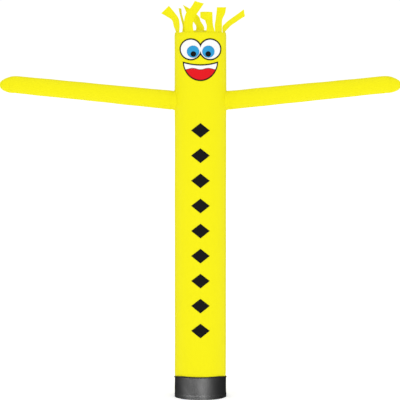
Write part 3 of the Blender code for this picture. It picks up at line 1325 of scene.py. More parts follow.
@dataclass
class Hair:
    """Seven ribbons of ripstop, their roots sewn in between the tube and the crown.

    Free is how far above the tube's top a ribbon is still held flat. A flap and a curl
    have a height, the angle that they turn through along the ribbon, and how much the
    ribbon's own flutter or its width shifts them. The rim, the plain cloth's reach and
    the thinning are shares of the half width, and a row's inset is a share of the hem.
    """

    locks: tuple[Lock, ...] = LOCKS
    seat: float = 0.1117
    tube_top: float = 1.655
    free: float = 0.003
    root_depth: float = 0.018
    cloth: float = 0.0007
    hem: float = 0.0032
    hem_rise: float = 0.0002
    hem_ease: float = 0.04
    flap: tuple[float, float, float] = (0.0011, 7.5, 1.3)
    curl: tuple[float, float, float] = (0.0012, 5.0, 2.0)
    rows: int = 90
    plain_columns: int = 11
    plain_reach: float = 0.7
    rim: float = 0.985
    thin_from: float = 0.97
    thin_over: float = 0.04
    row_start: float = 0.029
    row_short: float = 0.032
    row_inset: float = 0.75
    row_ahead: float = 0.002
    tapered_share: float = 0.9
    stitch: Stitch = Stitch(0.0022, 0.0005, 0.0033)

    def stations(self, lock: Lock) -> tuple[Array, Array, Array]:
        """Where a ribbon's two edges lie along it.

        The first two stations lie in the crown's seam, square to the tube's radius. At
        the others the edges differ in depth by what the cloth's width has left over from
        its front view, and the middle's depth eases from the root's to the tip's.

        Args:
            lock: the ribbon.

        Returns:
            The distances along its middle, the left edge and the right edge.
        """
        around = math.radians(lock.around)
        way = np.array([math.cos(around), math.sin(around), 0.0]) * self.facing(lock)
        root = self.seat * np.array([math.sin(around), -math.cos(around), 0.0])
        held = [self.tube_top - self.root_depth, self.tube_top + self.free]
        root = root + np.outer(held, [0, 0, 1])
        half = way * lock.width / 2
        left, right = np.array(lock.left), np.array(lock.right)
        middle = np.vstack([root[1:, ::2], (left + right) / 2])
        along = np.cumsum(np.linalg.norm(np.diff(middle, axis=0), axis=1))
        depth = root[1, 1] + (lock.depth - root[1, 1]) * smooth(along / along[-1])
        spare = np.clip(lock.width**2 - ((right - left) ** 2).sum(1), 0.0, None)
        lean = np.sign(way[1]) * np.sqrt(spare) / 2
        left = np.stack([left[:, 0], depth - lean, left[:, 1]], -1)
        right = np.stack([right[:, 0], depth + lean, right[:, 1]], -1)
        left, right = np.vstack([root - half, left]), np.vstack([root + half, right])
        step = np.linalg.norm(np.diff((left + right) / 2, axis=0), axis=1)
        return np.concatenate([[0.0], np.cumsum(step)]), left, right

    def facing(self, lock: Lock) -> float:
        """One for a root at the front of the head, minus one for a root at its back."""
        return math.copysign(1.0, math.cos(math.radians(lock.around)))

    def surface(self, lock: Lock) -> Callable[[Array, Array, Array | float], Array]:
        """A ribbon as a surface.

        Each point lies between the two edges. A bow follows the tube's round wall at the
        root, and two small waves grow towards the tip.

        Args:
            lock: the ribbon.

        Returns:
            The function of progress, of the share across from -1 to 1, and of the lift.
        """
        knots, left, right = self.stations(lock)
        facing = self.facing(lock)
        step = 1e-4
        flap, flap_turn, flap_lag = self.flap
        curl, curl_turn, curl_lag = self.curl

        def place(t: Array, share: Array, lift: Array | float = 0.0) -> Array:
            """The point between the edges, moved in or out by bow, waves and lift.

            Args:
                t: the progress from root to tip, 0 to 1.
                share: the share across, -1 at the left edge and 1 at the right one.
                lift: how far the point stands off the cloth's middle.

            Returns:
                The points, with a last axis of three.
            """
            run = t * knots[-1]
            low, high = curve(knots, left, run), curve(knots, right, run)
            both = left + right
            ahead = curve(knots, both, run + step) - curve(knots, both, run - step)
            inward = unit(np.cross(ahead, high - low))
            reach = share * np.linalg.norm(high - low, axis=-1) / 2
            grown = smooth(t)
            bow = facing * (1 - grown) ** 2 * reach**2 / (2 * self.seat)
            wave = flap * np.sin(flap_turn * t + lock.flutter + flap_lag * share) * grown
            roll = curl * np.sin(curl_turn * t + curl_lag * lock.flutter) * share**3 * grown
            depth = (bow + wave + roll - lift)[..., None]
            return (low + high) / 2 + share[..., None] * (high - low) / 2 + depth * inward

        return place

    def length(self, lock: Lock) -> float:
        """The ribbon's length along its middle line."""
        return float(self.stations(lock)[0][-1])

    def build_lock(self, number: int, lock: Lock) -> list[bpy.types.Object]:
        """One ribbon with narrow hems along both edges, and its stitches.

        Args:
            number: the ribbon's number, from 1.
            lock: the ribbon's sizes.

        Returns:
            The ribbon and its stitches.
        """
        place, length = self.surface(lock), self.length(lock)
        half = lock.width / 2
        inner = 1 - self.hem / half
        ease = self.hem_ease / 2
        rim = np.array([-1.0, -self.rim, -inner - ease, -inner + ease])
        plain = np.linspace(-self.plain_reach, self.plain_reach, self.plain_columns)
        share = np.concatenate([rim, plain, -rim[::-1]])
        t, share = np.meshgrid(np.linspace(0.0, 1.0, self.rows), share, indexing="ij")
        hem = smooth((np.abs(share) - inner) / self.hem_ease + 0.5)
        edge = 1 - smooth((np.abs(share) - self.thin_from) / self.thin_over) / 2
        thick = (self.cloth / 2 + self.hem_rise * hem) * edge
        cloth = np.stack([share * half, t * length], -1)
        pattern = Pattern(f"ribbon_cloth_{number}")
        pattern.wall(place(t, share, thick), place(t, share, -thick), cloth)
        ribbon = pattern.make(RIPSTOP, f"hair_ribbon_{number}")
        thread = Pattern(f"ribbon_stitches_{number}")
        run = self.stitch.places(length - self.row_short) + self.row_start
        for side in (-1, 1):
            for face in (-1, 1):
                spot = np.full(run.shape, side * (1 - self.row_inset * self.hem / half))
                lift = face * (self.cloth / 2 + self.hem_rise)
                here = place(run / length, spot, lift)
                along = place(run / length + self.row_ahead, spot, lift) - here
                self.stitch.sew(thread, here, along, here - place(run / length, spot, 0.0))
        return [ribbon, thread.make(YELLOW_THREAD)]

    def build(self) -> list[bpy.types.Object]:
        """Make all the ribbons.

        Returns:
            The ribbons and their stitches.
        """
        made: list[bpy.types.Object] = []
        for number, lock in enumerate(self.locks, 1):
            made += self.build_lock(number, lock)
        return made


# The crown


@dataclass
class Crown:
    """The panel that closes the head, its edge turned down inside the tube.

    Rise is how far the dome falls from its top to its edge, over is the edge's radius.
    Beside a ribbon's root, out to the root's reach in radians, the skirt is drawn in
    from its wide radius to its narrow one. The puckers grow with a high power of the
    distance from the middle, and the unevenness has its own waves in a turn.
    """

    top: float = 1.6655
    rise: float = 0.0145
    over: float = 0.1088
    narrow: float = 0.1108
    wide: float = 0.1134
    foot: float = 1.619
    corner: float = 0.003
    wall: float = 0.001
    root_reach: float = 0.215
    root_ease: float = 0.05
    pucker: Pucker = Pucker(0.0006, (37, 23), (0.4, 1.7), 0.6)
    pucker_power: int = 7
    unevenness: float = 0.0004
    uneven_waves: int = 5
    uneven_start: float = 1.0
    columns: int = 144
    dome_rows: int = 34
    bend_rows: int = 6
    skirt_rows: int = 10
    roots: tuple[float, ...] = tuple(lock.around for lock in LOCKS)

    def near_root(self, turn: Array) -> Array:
        """One beside a ribbon's root, nought away from all of them.

        Args:
            turn: the angle from the very front, positive towards +X.

        Returns:
            The share, eased from one to nought by a smooth step.
        """
        near = np.zeros(turn.shape)
        for root in self.roots:
            gap = np.abs(from_angle(turn, math.radians(root)))
            near = np.maximum(near, 1 - smooth((gap - self.root_reach) / self.root_ease))
        return near

    def skin(self, inset: float) -> tuple[Array, Array]:
        """One skin: a dome that falls with the square of the radius, then a skirt.

        Args:
            inset: how far the skin lies inside the outer one.

        Returns:
            The points and the cloth's map.
        """
        turn = np.linspace(-math.pi, math.pi, self.columns + 1)[None]
        share = np.linspace(0.0, 1.0, self.dome_rows)[:, None]
        wave = self.pucker.wave(turn) * share**self.pucker_power
        uneven = np.cos(self.uneven_waves * turn + self.uneven_start)
        wave = wave + self.unevenness * uneven * share**2
        dome = self.top - inset - self.rise * share**2 + wave
        edge = self.wide + (self.narrow - self.wide) * self.near_root(turn)
        bend = QUARTER * np.arange(1, self.bend_rows + 1)[:, None] / self.bend_rows
        over = self.over - inset
        ring = over + (edge - inset - over) * np.sin(bend)
        fall = dome[-1:] - self.corner * (1 - np.cos(bend))
        skirt = np.linspace(0.0, 1.0, self.skirt_rows)[1:, None]
        low = fall[-1:] + (self.foot - fall[-1:]) * skirt
        radius = np.vstack([over * share + 0 * turn, ring, (edge - inset) + 0 * skirt])
        height = np.vstack([dome, fall, low])
        points = np.stack([radius * np.sin(turn), -radius * np.cos(turn), height], -1)
        return points, points[..., :2].copy()

    def build(self) -> list[bpy.types.Object]:
        """Make the crown's panel.

        Returns:
            The panel.
        """
        pattern = Pattern("crown_cloth")
        outer, cloth = self.skin(0.0)
        inner, _ = self.skin(self.wall)
        pattern.wall(outer, inner, cloth, wrap=True)
        piece = pattern.make(RIPSTOP, "crown_panel")
        return [piece]


# The collar


@dataclass
class Collar:
    """The dark base collar with its turned-up hem, and the tape over its top edge.

    The hem stands out from the band by its rise, and the fold's radius rounds its lower
    edge, from an angle in degrees below level. The hem's end steps in to the band, which
    lies in by its step above. The sag's two waves have heights, waves in a turn and, for
    the second, a climb in radians per metre.
    """

    inner: float = 0.1153
    outer: float = 0.1173
    top: float = 0.0885
    hem_height: float = 0.016
    hem_rise: float = 0.0002
    hem_rows: int = 5
    hem_foot: float = 0.003
    hem_end_in: tuple[float, float] = (0.0, 0.0003)
    hem_end_up: tuple[float, float] = (0.0004, 0.0012)
    fold: float = 0.0011
    fold_from: float = -80.0
    fold_rows: int = 6
    step: float = 0.0004
    band_clear: float = 0.004
    band_rows: int = 22
    sag_heights: tuple[float, float] = (0.0005, 0.0004)
    sag_waves: tuple[int, int] = (4, 9)
    sag_start: float = 0.7
    sag_climb: float = 60.0
    sag_fade: float = 0.05
    tape_inner: float = 0.1153
    tape_outer: float = 0.1191
    tape_low: float = 0.0872
    tape_width: float = 0.0105
    tape_top: float = 0.0925
    tape_cloth: float = 0.0013
    tape_clear: float = 0.0005
    tape_rows: int = 6
    tape_bend: int = 13
    tape_ripple: float = 0.00015
    tape_ripples: int = 90
    hem_row: float = 0.003
    tape_row: float = 0.0018
    columns: int = 160
    stitch: Stitch = Stitch(0.0034, 0.0009, 0.0048)

    def sag(self, turn: Array, height: Array) -> Array:
        """The band's slight unevenness: two sines that fade towards its bound top edge.

        Args:
            turn: the angle from the very front, positive towards +X.
            height: the height above the ground.

        Returns:
            How far the band stands off a true cylinder.
        """
        (broad, fine), (few, many) = self.sag_heights, self.sag_waves
        wave = broad * np.sin(few * turn + self.sag_start)
        wave = wave + fine * np.sin(many * turn + self.sag_climb * height)
        return wave * smooth((self.top - height) / self.sag_fade)

    def turned(self, turn: Array, radius: Array, height: Array) -> Array:
        """Points on circles about the tube's axis."""
        height = height + 0 * turn
        return np.stack([radius * np.sin(turn), -radius * np.cos(turn), height], -1)

    def band_profile(self) -> tuple[Array, Array]:
        """The band's outer side from its lower fold up to its top edge.

        Returns:
            The radii and the heights.
        """
        hem = self.outer + self.hem_rise
        bend = np.radians(np.linspace(self.fold_from, 0, self.fold_rows))
        radii = [
            hem - self.fold + self.fold * np.cos(bend),
            np.full(self.hem_rows, hem),
            self.outer - np.array(self.hem_end_in),
            np.full(self.band_rows, self.outer - self.step),
        ]
        heights = [
            self.fold + self.fold * np.sin(bend),
            np.linspace(self.hem_foot, self.hem_height, self.hem_rows),
            self.hem_height + np.array(self.hem_end_up),
            np.linspace(self.hem_height + self.band_clear, self.top, self.band_rows),
        ]
        return np.concatenate(radii), np.concatenate(heights)

    def build_band(self) -> bpy.types.Object:
        """The band: its profile carried round the tube, its top edge rising to the front.

        Returns:
            The band.
        """
        radius, height = self.band_profile()
        turn, height = np.meshgrid(np.linspace(-math.pi, math.pi, self.columns + 1), height)
        radius = radius[:, None] + self.sag(turn, height)
        share = np.clip((height - self.hem_height) / (self.top - self.hem_height), 0.0, 1.0)
        height = height + collar_rise(turn) * share
        seat = self.inner + np.clip(self.sag(turn, height), 0.0, None)
        outer, inner = self.turned(turn, radius, height), self.turned(turn, seat, height)
        cloth = np.stack([turn * self.outer, height], -1)
        pattern = Pattern("collar_band")
        pattern.wall(outer, inner, cloth, wrap=True)
        piece = pattern.make(COLLAR_CLOTH, "base_collar")
        return piece

    def build_tape(self) -> bpy.types.Object:
        """The tape: a folded strip, straight outside and bent in a half circle on top.

        Returns:
            The tape.
        """
        wide = (self.tape_outer - self.tape_inner) / 2
        shoulder = self.tape_top - wide
        band_top = self.top + self.tape_clear
        bend = np.radians(np.linspace(0, 180, self.tape_bend))[1:-1]
        straight = np.linspace(self.tape_low, shoulder, self.tape_rows)
        over = self.tape_inner + wide + wide * np.cos(bend)
        radius = [[self.tape_outer] * self.tape_rows, over, [self.tape_inner] * 2]
        height = [straight, shoulder + wide * np.sin(bend), [shoulder, band_top]]
        radius, height = np.concatenate(radius), np.concatenate(height)
        inner_radius = np.clip(radius - self.tape_cloth, self.tape_inner, None)
        inner_radius[: self.tape_rows] = self.outer + self.hem_rise
        inner_height = np.minimum(height, band_top)
        turn, rise = np.meshgrid(np.linspace(-math.pi, math.pi, self.columns + 1), height)
        ripple = self.tape_ripple * np.sin(self.tape_ripples * turn) * (rise < shoulder)
        lift = collar_rise(turn)
        outer = self.turned(turn, radius[:, None] + ripple, rise + lift)
        inner = self.turned(turn, inner_radius[:, None] + 0 * turn, inner_height[:, None] + lift)
        length = np.concatenate([[0.0], np.cumsum(np.hypot(np.diff(radius), np.diff(height)))])
        cloth = np.stack([turn * self.outer, length[:, None] + 0 * turn], -1)
        pattern = Pattern("collar_tape_binding")
        pattern.wall(outer, inner, cloth, wrap=True)
        piece = pattern.make(TAPE_CLOTH, "collar_tape")
        return piece

    def build_stitches(self) -> bpy.types.Object:
        """A row along the hem's fold and one along the tape.

        Returns:
            The collar's stitches.
        """
        pattern = Pattern("collar_stitches")
        turn = self.stitch.places(math.tau * self.outer) / self.outer
        hem = self.hem_height - self.hem_row + 0 * turn
        tape = self.tape_low + self.tape_row + collar_rise(turn)
        hem_radius = self.outer + self.hem_rise + self.sag(turn, hem)
        for height, radius in ((hem, hem_radius), (tape, self.tape_outer)):
            here = self.turned(turn, radius + 0 * turn, height)
            out = self.turned(turn, 1.0 + 0 * turn, 0.0)
            along = np.stack([np.cos(turn), np.sin(turn), 0 * turn], -1)
            self.stitch.sew(pattern, here, along, out)
        return pattern.make(DARK_THREAD)

    def build(self) -> list[bpy.types.Object]:
        """Make the collar's pieces."""
        return [self.build_band(), self.build_tape(), self.build_stitches()]


# The sewn-on pieces


@dataclass(frozen=True)
class Outline:
    """A front-view shape between two curves of x, from its middle to its reach."""

    middle: float
    reach: float
    upper: Curve
    lower: Curve

    def widths(self, count: int) -> Array:
        """Values of x, closest together near both ends."""
        return self.middle + self.reach * np.sin(np.linspace(-QUARTER, QUARTER, count))

    def border(self, count: int = 400) -> Array:
        """The outline's points in order, counterclockwise as seen from the front.

        Args:
            count: how many points each curve has.

        Returns:
            The points, the last one being the first again.
        """
        x = self.widths(count)
        under = np.stack([x, self.lower(x)], -1)
        over = np.stack([x, self.upper(x)], -1)
        return np.concatenate([under, over[-2:0:-1], under[:1]])

    def grid(self, columns: int, rows: int) -> tuple[Array, Array]:
        """A grid that fills the shape, closest together near its edges.

        Args:
            columns: how many columns it has.
            rows: how many rows it has.

        Returns:
            The values of x and of z.
        """
        x = self.widths(columns)
        share = (1 - np.cos(np.linspace(0.0, math.pi, rows)))[:, None] / 2
        low, high = self.lower(x), self.upper(x)
        return x + 0 * share, low + (high - low) * share


def to_border(x: Array, z: Array, border: Array) -> Array:
    """The distance from each point to the nearest of the border's straight steps.

    Args:
        x: the points' x values.
        z: the points' z values.
        border: the border's points in order.

    Returns:
        The distances.
    """
    start, step = border[:-1], np.diff(border, axis=0)
    spot = np.stack([x, z], -1)[..., None, :] - start
    share = (spot * step).sum(-1) / np.maximum((step**2).sum(-1), 1e-18)
    rest = spot - np.clip(share, 0.0, 1.0)[..., None] * step
    return np.sqrt((rest**2).sum(-1).min(-1))


@dataclass
class Patch:
    """A flat piece of cloth cut to an outline and sewn on with a close zigzag stitch.

    Layer counts from the tube's cloth, and a step is one layer's height. Rounded is
    the width of the cloth's rounded edge, pad the height of the zigzag's padding, satin
    the zigzag's width and slant the sideways share of each of its stitches. The edge's
    way is read over a little length ahead and behind.
    """

    name: str
    node: str
    outline: Outline
    layer: int
    cloth: ClothFinish
    thread: ThreadFinish
    columns: int = 61
    rows: int = 41
    thick: float = 0.0006
    step: float = 0.0008
    under: float = 0.0001
    above: float = 0.00015
    rounded: float = 0.0005
    pad: float = 0.00025
    satin: float = 0.0024
    satin_over: float = 0.0002
    satin_lift: float = 0.00035
    slant: float = 0.28
    ahead: float = 0.0002
    stitch: Stitch = Stitch(0.0026, 0.0008, 0.0011, 0.0)

    def lift(self, gap: Array) -> Array:
        """The height of the cloth above the tube, by its distance from the edge.

        The edge is a quarter circle, and the zigzag's padding stands up in a bell curve
        just inside it.

        Args:
            gap: the distance from the edge.

        Returns:
            The height above the tube's cloth.
        """
        edge = np.sqrt(1 - (1 - np.clip(gap / self.rounded, 0.0, 1.0)) ** 2)
        pad = self.pad * bell(gap - self.satin / 2, self.satin / 2)
        return self.above + self.layer * self.step + self.thick * edge + pad

    def build(self, tube: TubeCloth) -> list[bpy.types.Object]:
        """Lay the patch on the tube's cloth and sew it on.

        Its area is the sum of its border's cross products, widened as the cloth laid flat
        is wider than its front view.

        Args:
            tube: the tube that it lies on.

        Returns:
            The patch and its stitches.
        """
        x, z = self.outline.grid(self.columns, self.rows)
        border = self.outline.border()
        lift = self.lift(to_border(x, z, border))
        turn = np.arcsin(x / tube.radius)
        cloth = np.stack([turn * tube.radius, z], -1)
        pattern = Pattern(self.name)
        under = self.layer * self.step + self.under
        pattern.wall(tube.place(turn, z, lift), tube.place(turn, z, under), cloth)
        patch = pattern.make(self.cloth, self.node)
        step = np.diff(border, axis=0)
        cross = border[:-1, 0] * step[:, 1] - border[:-1, 1] * step[:, 0]
        size = float(np.ptp(turn * tube.radius)), float(np.ptp(border[:, 1]))
        abs(float(cross.sum())) / 2 * float(size[0] / np.ptp(x))
        return [patch, self.sew(tube, border)]

    def sew(self, tube: TubeCloth, border: Array) -> bpy.types.Object:
        """The zigzag: stitches side by side across the edge, all the way round.

        Args:
            tube: the tube that the patch lies on.
            border: the outline's points in order.

        Returns:
            The stitches.
        """
        flat = border.copy()
        flat[:, 0] = np.arcsin(border[:, 0] / tube.radius) * tube.radius
        step = np.linalg.norm(np.diff(flat, axis=0), axis=1)
        length = np.concatenate([[0.0], np.cumsum(step)])
        run = self.stitch.places(length[-1])
        spot, ahead, behind = (
            np.stack([np.interp(run + more, length, flat[:, k]) for k in (0, 1)], -1)
            for more in (0.0, self.ahead, -self.ahead)
        )
        way = unit(ahead - behind)
        inward = np.stack([-way[:, 1], way[:, 0]], -1)
        spot = spot + inward * (self.satin / 2 - self.satin_over)
        lift = self.layer * self.step + self.thick + self.satin_lift
        here, one, two, out = across(tube.on_cloth(lift), spot[:, 0], spot[:, 1])
        slant = np.where(np.arange(len(run)) % 2 == 0, self.slant, -self.slant)[:, None]
        flat_way = inward + slant * way
        along = flat_way[:, :1] * one + flat_way[:, 1:] * two
        pattern = Pattern(f"{self.name}_stitches")
        self.stitch.sew(pattern, here, along, out)
        return pattern.make(self.thread)


def disc(x: float, z: float, radius: float) -> Outline:
    """A round outline.

    Args:
        x: its middle's x value.
        z: its middle's height.
        radius: its radius.

    Returns:
        The outline.
    """

    def half(sign: int) -> Curve:
        """The upper half circle for a sign of one, the lower one for minus one."""
        return lambda at: z + sign * np.sqrt(np.clip(radius**2 - (at - x) ** 2, 0.0, None))

    return Outline(x, radius, half(1), half(-1))


def joined_discs(spread: float, z: float, radius: float) -> Outline:
    """The outline of two round shapes that run into each other.

    Args:
        spread: how far each one's middle lies from x nought.
        z: their middles' height.
        radius: their radius.

    Returns:
        The outline.
    """

    def half(sign: int) -> Curve:
        """The upper arcs for a sign of one, the lower ones for minus one."""
        square = radius**2
        return lambda at: z + sign * np.sqrt(np.clip(square - (np.abs(at) - spread) ** 2, 0, None))

    return Outline(0.0, spread + radius, half(1), half(-1))


def between(upper: Curve, lower: Curve, half_width: float, trials: int = 8001) -> Outline:
    """The even-sided outline between two curves, out to where they meet.

    Args:
        upper: the upper curve.
        lower: the lower curve.
        half_width: how far out they are followed at most.
        trials: how many places are tried on the way.

    Returns:
        The outline.
    """
    trial = np.linspace(0.0, half_width, trials)
    reach = float(trial[upper(trial) > lower(trial)].max())
    return Outline(0.0, reach, lambda x: np.maximum(upper(x), lower(x)), lower)


@dataclass
class Face:
    """Plain round eyes and an open smile."""

    eye_height: float = 1.5796
    eye_spread: float = 0.0425
    eye_radius: float = 0.0492
    eye_border: float = 0.006
    iris_spots: tuple[float, float] = (-0.0321, 0.0343)
    iris_height: float = 1.5693
    iris_radius: float = 0.0268
    pupil_spots: tuple[float, float] = (-0.0305, 0.0333)
    pupil_height: float = 1.5589
    pupil_radius: float = 0.0118
    mouth_half_width: float = 0.0775
    mouth_height: float = 1.5249
    mouth_sag: float = 0.012
    mouth_depth: float = 0.0867
    mouth_border: float = 0.0056
    lip_gap: float = 0.0008
    tongue_height: float = 1.4924
    tongue_wave: float = 0.003
    tongue_wave_length: float = 0.068

    def top(self, inset: float) -> Curve:
        """The upper edge of the smile, a shallow parabola, drawn in by an inset."""
        level = self.mouth_height - inset
        return lambda x: level - self.mouth_sag * (1 - (x / self.mouth_half_width) ** 2)

    def bottom(self, inset: float) -> Curve:
        """The lower edge of the smile, half an oval, drawn in by an inset."""
        width, depth = self.mouth_half_width - inset, self.mouth_depth - inset
        return lambda x: self.mouth_height - depth * np.sqrt(np.clip(1 - (x / width) ** 2, 0, 1))

    def split(self, offset: float) -> Curve:
        """The wavy line between teeth and tongue, a cosine, moved up by an offset."""
        turn = math.tau / self.tongue_wave_length
        return lambda x: self.tongue_height + offset - self.tongue_wave * np.cos(turn * x)

    def patches(self) -> list[Patch]:
        """The face's pieces, from the lowest layer up.

        Returns:
            The patches, not yet sewn on.
        """
        height, spread, radius = self.eye_height, self.eye_spread, self.eye_radius
        low, inner = self.bottom(self.mouth_border), self.mouth_half_width - self.mouth_border
        above_tongue = self.split(self.lip_gap)

        def teeth_foot(x: Array) -> Array:
            """The higher of the mouth's lower edge and the tongue's upper one."""
            return np.maximum(low(x), above_tongue(x))

        teeth = between(self.top(self.mouth_border), teeth_foot, inner)
        tongue = between(self.split(-self.lip_gap), low, inner)
        mouth = between(self.top(0), self.bottom(0), self.mouth_half_width)
        eyes = joined_discs(spread, height, radius)
        whites = joined_discs(spread, height, radius - self.eye_border)
        black, white = (BLACK_CLOTH, BLACK_THREAD), (WHITE_CLOTH, WHITE_THREAD)
        blue, red = (BLUE_CLOTH, BLUE_THREAD), (RED_CLOTH, RED_THREAD)
        made = [
            Patch("eye_border_patch", "eye_border", eyes, 0, *black, columns=141),
            Patch("eye_whites_patch", "eye_whites", whites, 1, *white, columns=141),
            Patch("mouth_border_patch", "mouth_border", mouth, 0, *black, columns=101),
            Patch("teeth_patch", "teeth", teeth, 1, *white, columns=101),
            Patch("tongue_patch", "tongue", tongue, 1, *red, columns=91),
        ]
        for word, x, dot in zip(("left", "right"), self.iris_spots, self.pupil_spots):
            iris = disc(x, self.iris_height, self.iris_radius)
            pupil = disc(dot, self.pupil_height, self.pupil_radius)
            made.append(Patch(f"iris_patch_{word}", f"iris_{word}", iris, 2, *blue, columns=51))
            made.append(Patch(f"pupil_patch_{word}", f"pupil_{word}", pupil, 3, *black, 41, 31))
        return made

    def build(self, tube: TubeCloth) -> list[bpy.types.Object]:
        """Sew the face on the tube."""
        return [piece for patch in self.patches() for piece in patch.build(tube)]


@dataclass
class Lozenges:
    """The column of plain lozenges down the front."""

    count: int = 9
    top: float = 1.2175
    bottom: float = 0.3145
    half_width: float = 0.041
    half_height: float = 0.033

    def outline(self, z: float) -> Outline:
        """A lozenge: each half falls in a straight line from its middle.

        Args:
            z: the height of its middle.

        Returns:
            The outline.
        """

        def half(sign: int) -> Curve:
            """The upper corner for a sign of one, the lower one for minus one."""
            return lambda x: z + sign * self.half_height * (1 - np.abs(x) / self.half_width)

        return Outline(0.0, self.half_width, half(1), half(-1))

    def build(self, tube: TubeCloth) -> list[bpy.types.Object]:
        """Sew the lozenges on the tube, the same distance apart.

        Args:
            tube: the tube that they lie on.

        Returns:
            The lozenges and their stitches.
        """
        made: list[bpy.types.Object] = []
        for number, z in enumerate(np.linspace(self.top, self.bottom, self.count), 1):
            name, node = f"lozenge_patch_{number}", f"lozenge_{number}"
            patch = Patch(name, node, self.outline(float(z)), 0, BLACK_CLOTH, BLACK_THREAD)
            made += patch.build(tube)
        return made


# The studio


@dataclass(frozen=True)
class Softbox:
    """A square light for the collar alone: its place, side in metres and power in watts."""

    name: str
    place: Spot
    side: float
    power: float


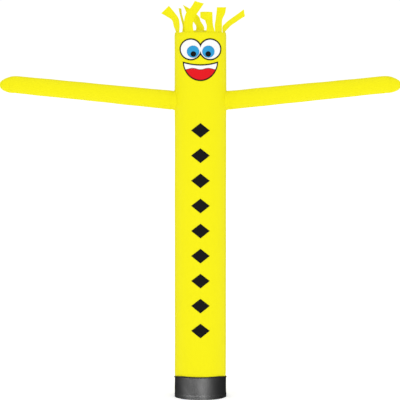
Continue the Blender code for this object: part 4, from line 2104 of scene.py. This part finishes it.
@dataclass
class Studio:
    """A plain pale floor, soft white light and the camera.

    Sky is the strength of the light from all round, backdrop its brightness behind the
    object, and mirrored its brightness in reflections. Glow is the floor's own light.
    """

    eye: Spot = (-0.0021, -10.0, 1.62)
    aim: Spot = (-0.0021, 0.0, 0.8974)
    lens: float = 198.98
    far: float = 200.0
    floor_size: float = 120.0
    floor_shades: tuple[float, float] = (0.94, 0.96)
    floor_waves: float = 3.0
    sky: float = 0.83
    glow: float = 0.28
    backdrop: float = 1.05
    mirrored: float = 0.01
    key_place: Spot = (-0.15, -3.0, 4.5)
    key_strength: float = 0.6
    key_spread: float = math.radians(70)
    collar_middle: Spot = (0.0, 0.0, 0.05)
    softboxes: tuple[Softbox, Softbox] = (
        Softbox("collar_softbox", (0.36, -2.2, 0.4), 0.9, 70.0),
        Softbox("collar_side_softbox", (-1.76, -1.48, 0.4), 1.6, 60.0),
    )

    def build_camera(self) -> None:
        """The camera: far off, a little above the middle, tilted down."""
        data = bpy.data.cameras.new("camera")
        data.lens = self.lens
        data.clip_end = self.far
        camera = bpy.data.objects.new("camera", data)
        camera.location = self.eye
        way = Vector(self.aim) - Vector(self.eye)
        camera.rotation_euler = way.to_track_quat("-Z", "Y").to_euler()
        bpy.context.scene.collection.objects.link(camera)
        bpy.context.scene.camera = camera

    def build_floor(self) -> None:
        """A wide pale floor with faint mottling.

        It glows a little, so that it comes out white. Gloss sees it as nearly black, so
        that the dark collar has no pale sheen from it.
        """
        side = np.linspace(-self.floor_size / 2, self.floor_size / 2, 3)
        x, y = np.meshgrid(side, side)
        points = np.stack([x, y, np.zeros(x.shape)], -1).reshape(-1, 3)
        index = np.arange(x.size).reshape(x.shape)
        faces = np.stack([index[:-1, :-1], index[:-1, 1:], index[1:, 1:], index[1:, :-1]], -1)
        mesh = bpy.data.meshes.new("studio_floor")
        mesh.from_pydata(points.tolist(), [], faces.reshape(-1, 4).tolist())
        weaver = Weaver("pale_floor")
        mark = weaver.noise(weaver.place(), self.floor_waves)
        dull, bright = (shaded((1.0, 1.0, 1.0), share) for share in self.floor_shades)
        paint = weaver.tint(mark, dull, bright)
        shine = weaver.tree.nodes.new("ShaderNodeLightPath").outputs["Is Glossy Ray"]
        dim = weaver.maths("MULTIPLY", shine, 1.0 - self.mirrored)
        glow = weaver.maths("MULTIPLY", weaver.maths("SUBTRACT", 1.0, dim), self.glow)
        weaver.plug(weaver.shader, "Base Color", weaver.tint(dim, paint, BLACK))
        weaver.plug(weaver.shader, "Emission Color", WHITE)
        weaver.plug(weaver.shader, "Emission Strength", glow)
        weaver.plug(weaver.shader, "Roughness", 0.9)
        weaver.plug(weaver.shader, "Specular IOR Level", 0.0)
        mesh.materials.append(weaver.material)
        floor = bpy.data.objects.new("studio_floor", mesh)
        bpy.context.scene.collection.objects.link(floor)

    def build_sky(self) -> None:
        """White light from all round, pure white as a backdrop and dim in reflections."""
        world = bpy.data.worlds.new("studio")
        world.use_nodes = True
        graph = Graph(world.node_tree)
        sky = graph.tree.nodes["Background"]
        graph.plug(sky, "Color", WHITE)
        rays = graph.tree.nodes.new("ShaderNodeLightPath").outputs
        seen = graph.maths("MULTIPLY", rays["Is Camera Ray"], self.backdrop - self.sky)
        shine = graph.maths("MULTIPLY", rays["Is Glossy Ray"], self.mirrored - self.sky)
        graph.plug(sky, "Strength", graph.maths("ADD", graph.maths("ADD", seen, shine), self.sky))
        bpy.context.scene.world = world

    def aimed(self, name: str, kind: str, at: Spot, aim: Spot) -> bpy.types.Object:
        """A light at one place, turned towards another.

        Args:
            name: the light's name.
            kind: the kind of light.
            at: where it stands.
            aim: what it points at.

        Returns:
            The light.
        """
        light = bpy.data.objects.new(name, bpy.data.lights.new(name, kind))
        light.location = at
        way = Vector(aim) - Vector(at)
        light.rotation_euler = way.to_track_quat("-Z", "Y").to_euler()
        bpy.context.scene.collection.objects.link(light)
        return light

    def build_key(self) -> None:
        """One very wide, even light from high up in front."""
        key = self.aimed("wide_key", "SUN", self.key_place, (0.0, 0.0, 0.0))
        key.data.energy = self.key_strength
        key.data.angle = self.key_spread

    def build_collar_lights(self, collar: list[bpy.types.Object]) -> None:
        """Two low softboxes, one in front and a weak one at the left, for the collar alone.

        Args:
            collar: the pieces that they light.
        """
        lit = bpy.data.collections.new("lit_collar")
        for piece in collar:
            lit.objects.link(piece)
        for box in self.softboxes:
            light = self.aimed(box.name, "AREA", box.place, self.collar_middle)
            light.data.size = box.side
            light.data.energy = box.power
            light.light_linking.receiver_collection = lit

    def build(self, collar: list[bpy.types.Object]) -> None:
        """Set up the floor, the lights and the camera.

        Args:
            collar: the pieces that the collar's own softboxes light.
        """
        self.build_floor()
        self.build_sky()
        self.build_key()
        self.build_collar_lights(collar)
        self.build_camera()
        bpy.context.scene.view_settings.view_transform = "Standard"


def main() -> None:
    """Load the frame, sew every sub-assembly around it and set up the studio."""
    logging.basicConfig(level=logging.INFO, format="%(message)s")
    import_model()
    tube = TubeCloth()
    collar = Collar().build()
    made = tube.build() + collar
    for part in (Crown(), Hair(), Sleeve("left", -1, phase=0.4), Sleeve("right", 1, phase=2.3)):
        made += part.build()
    for sewn in (Face(), Lozenges()):
        made += sewn.build(tube)
    Studio().build(collar)
    LOG.info("%d pieces", len(made))


if __name__ == "__main__":
    main()
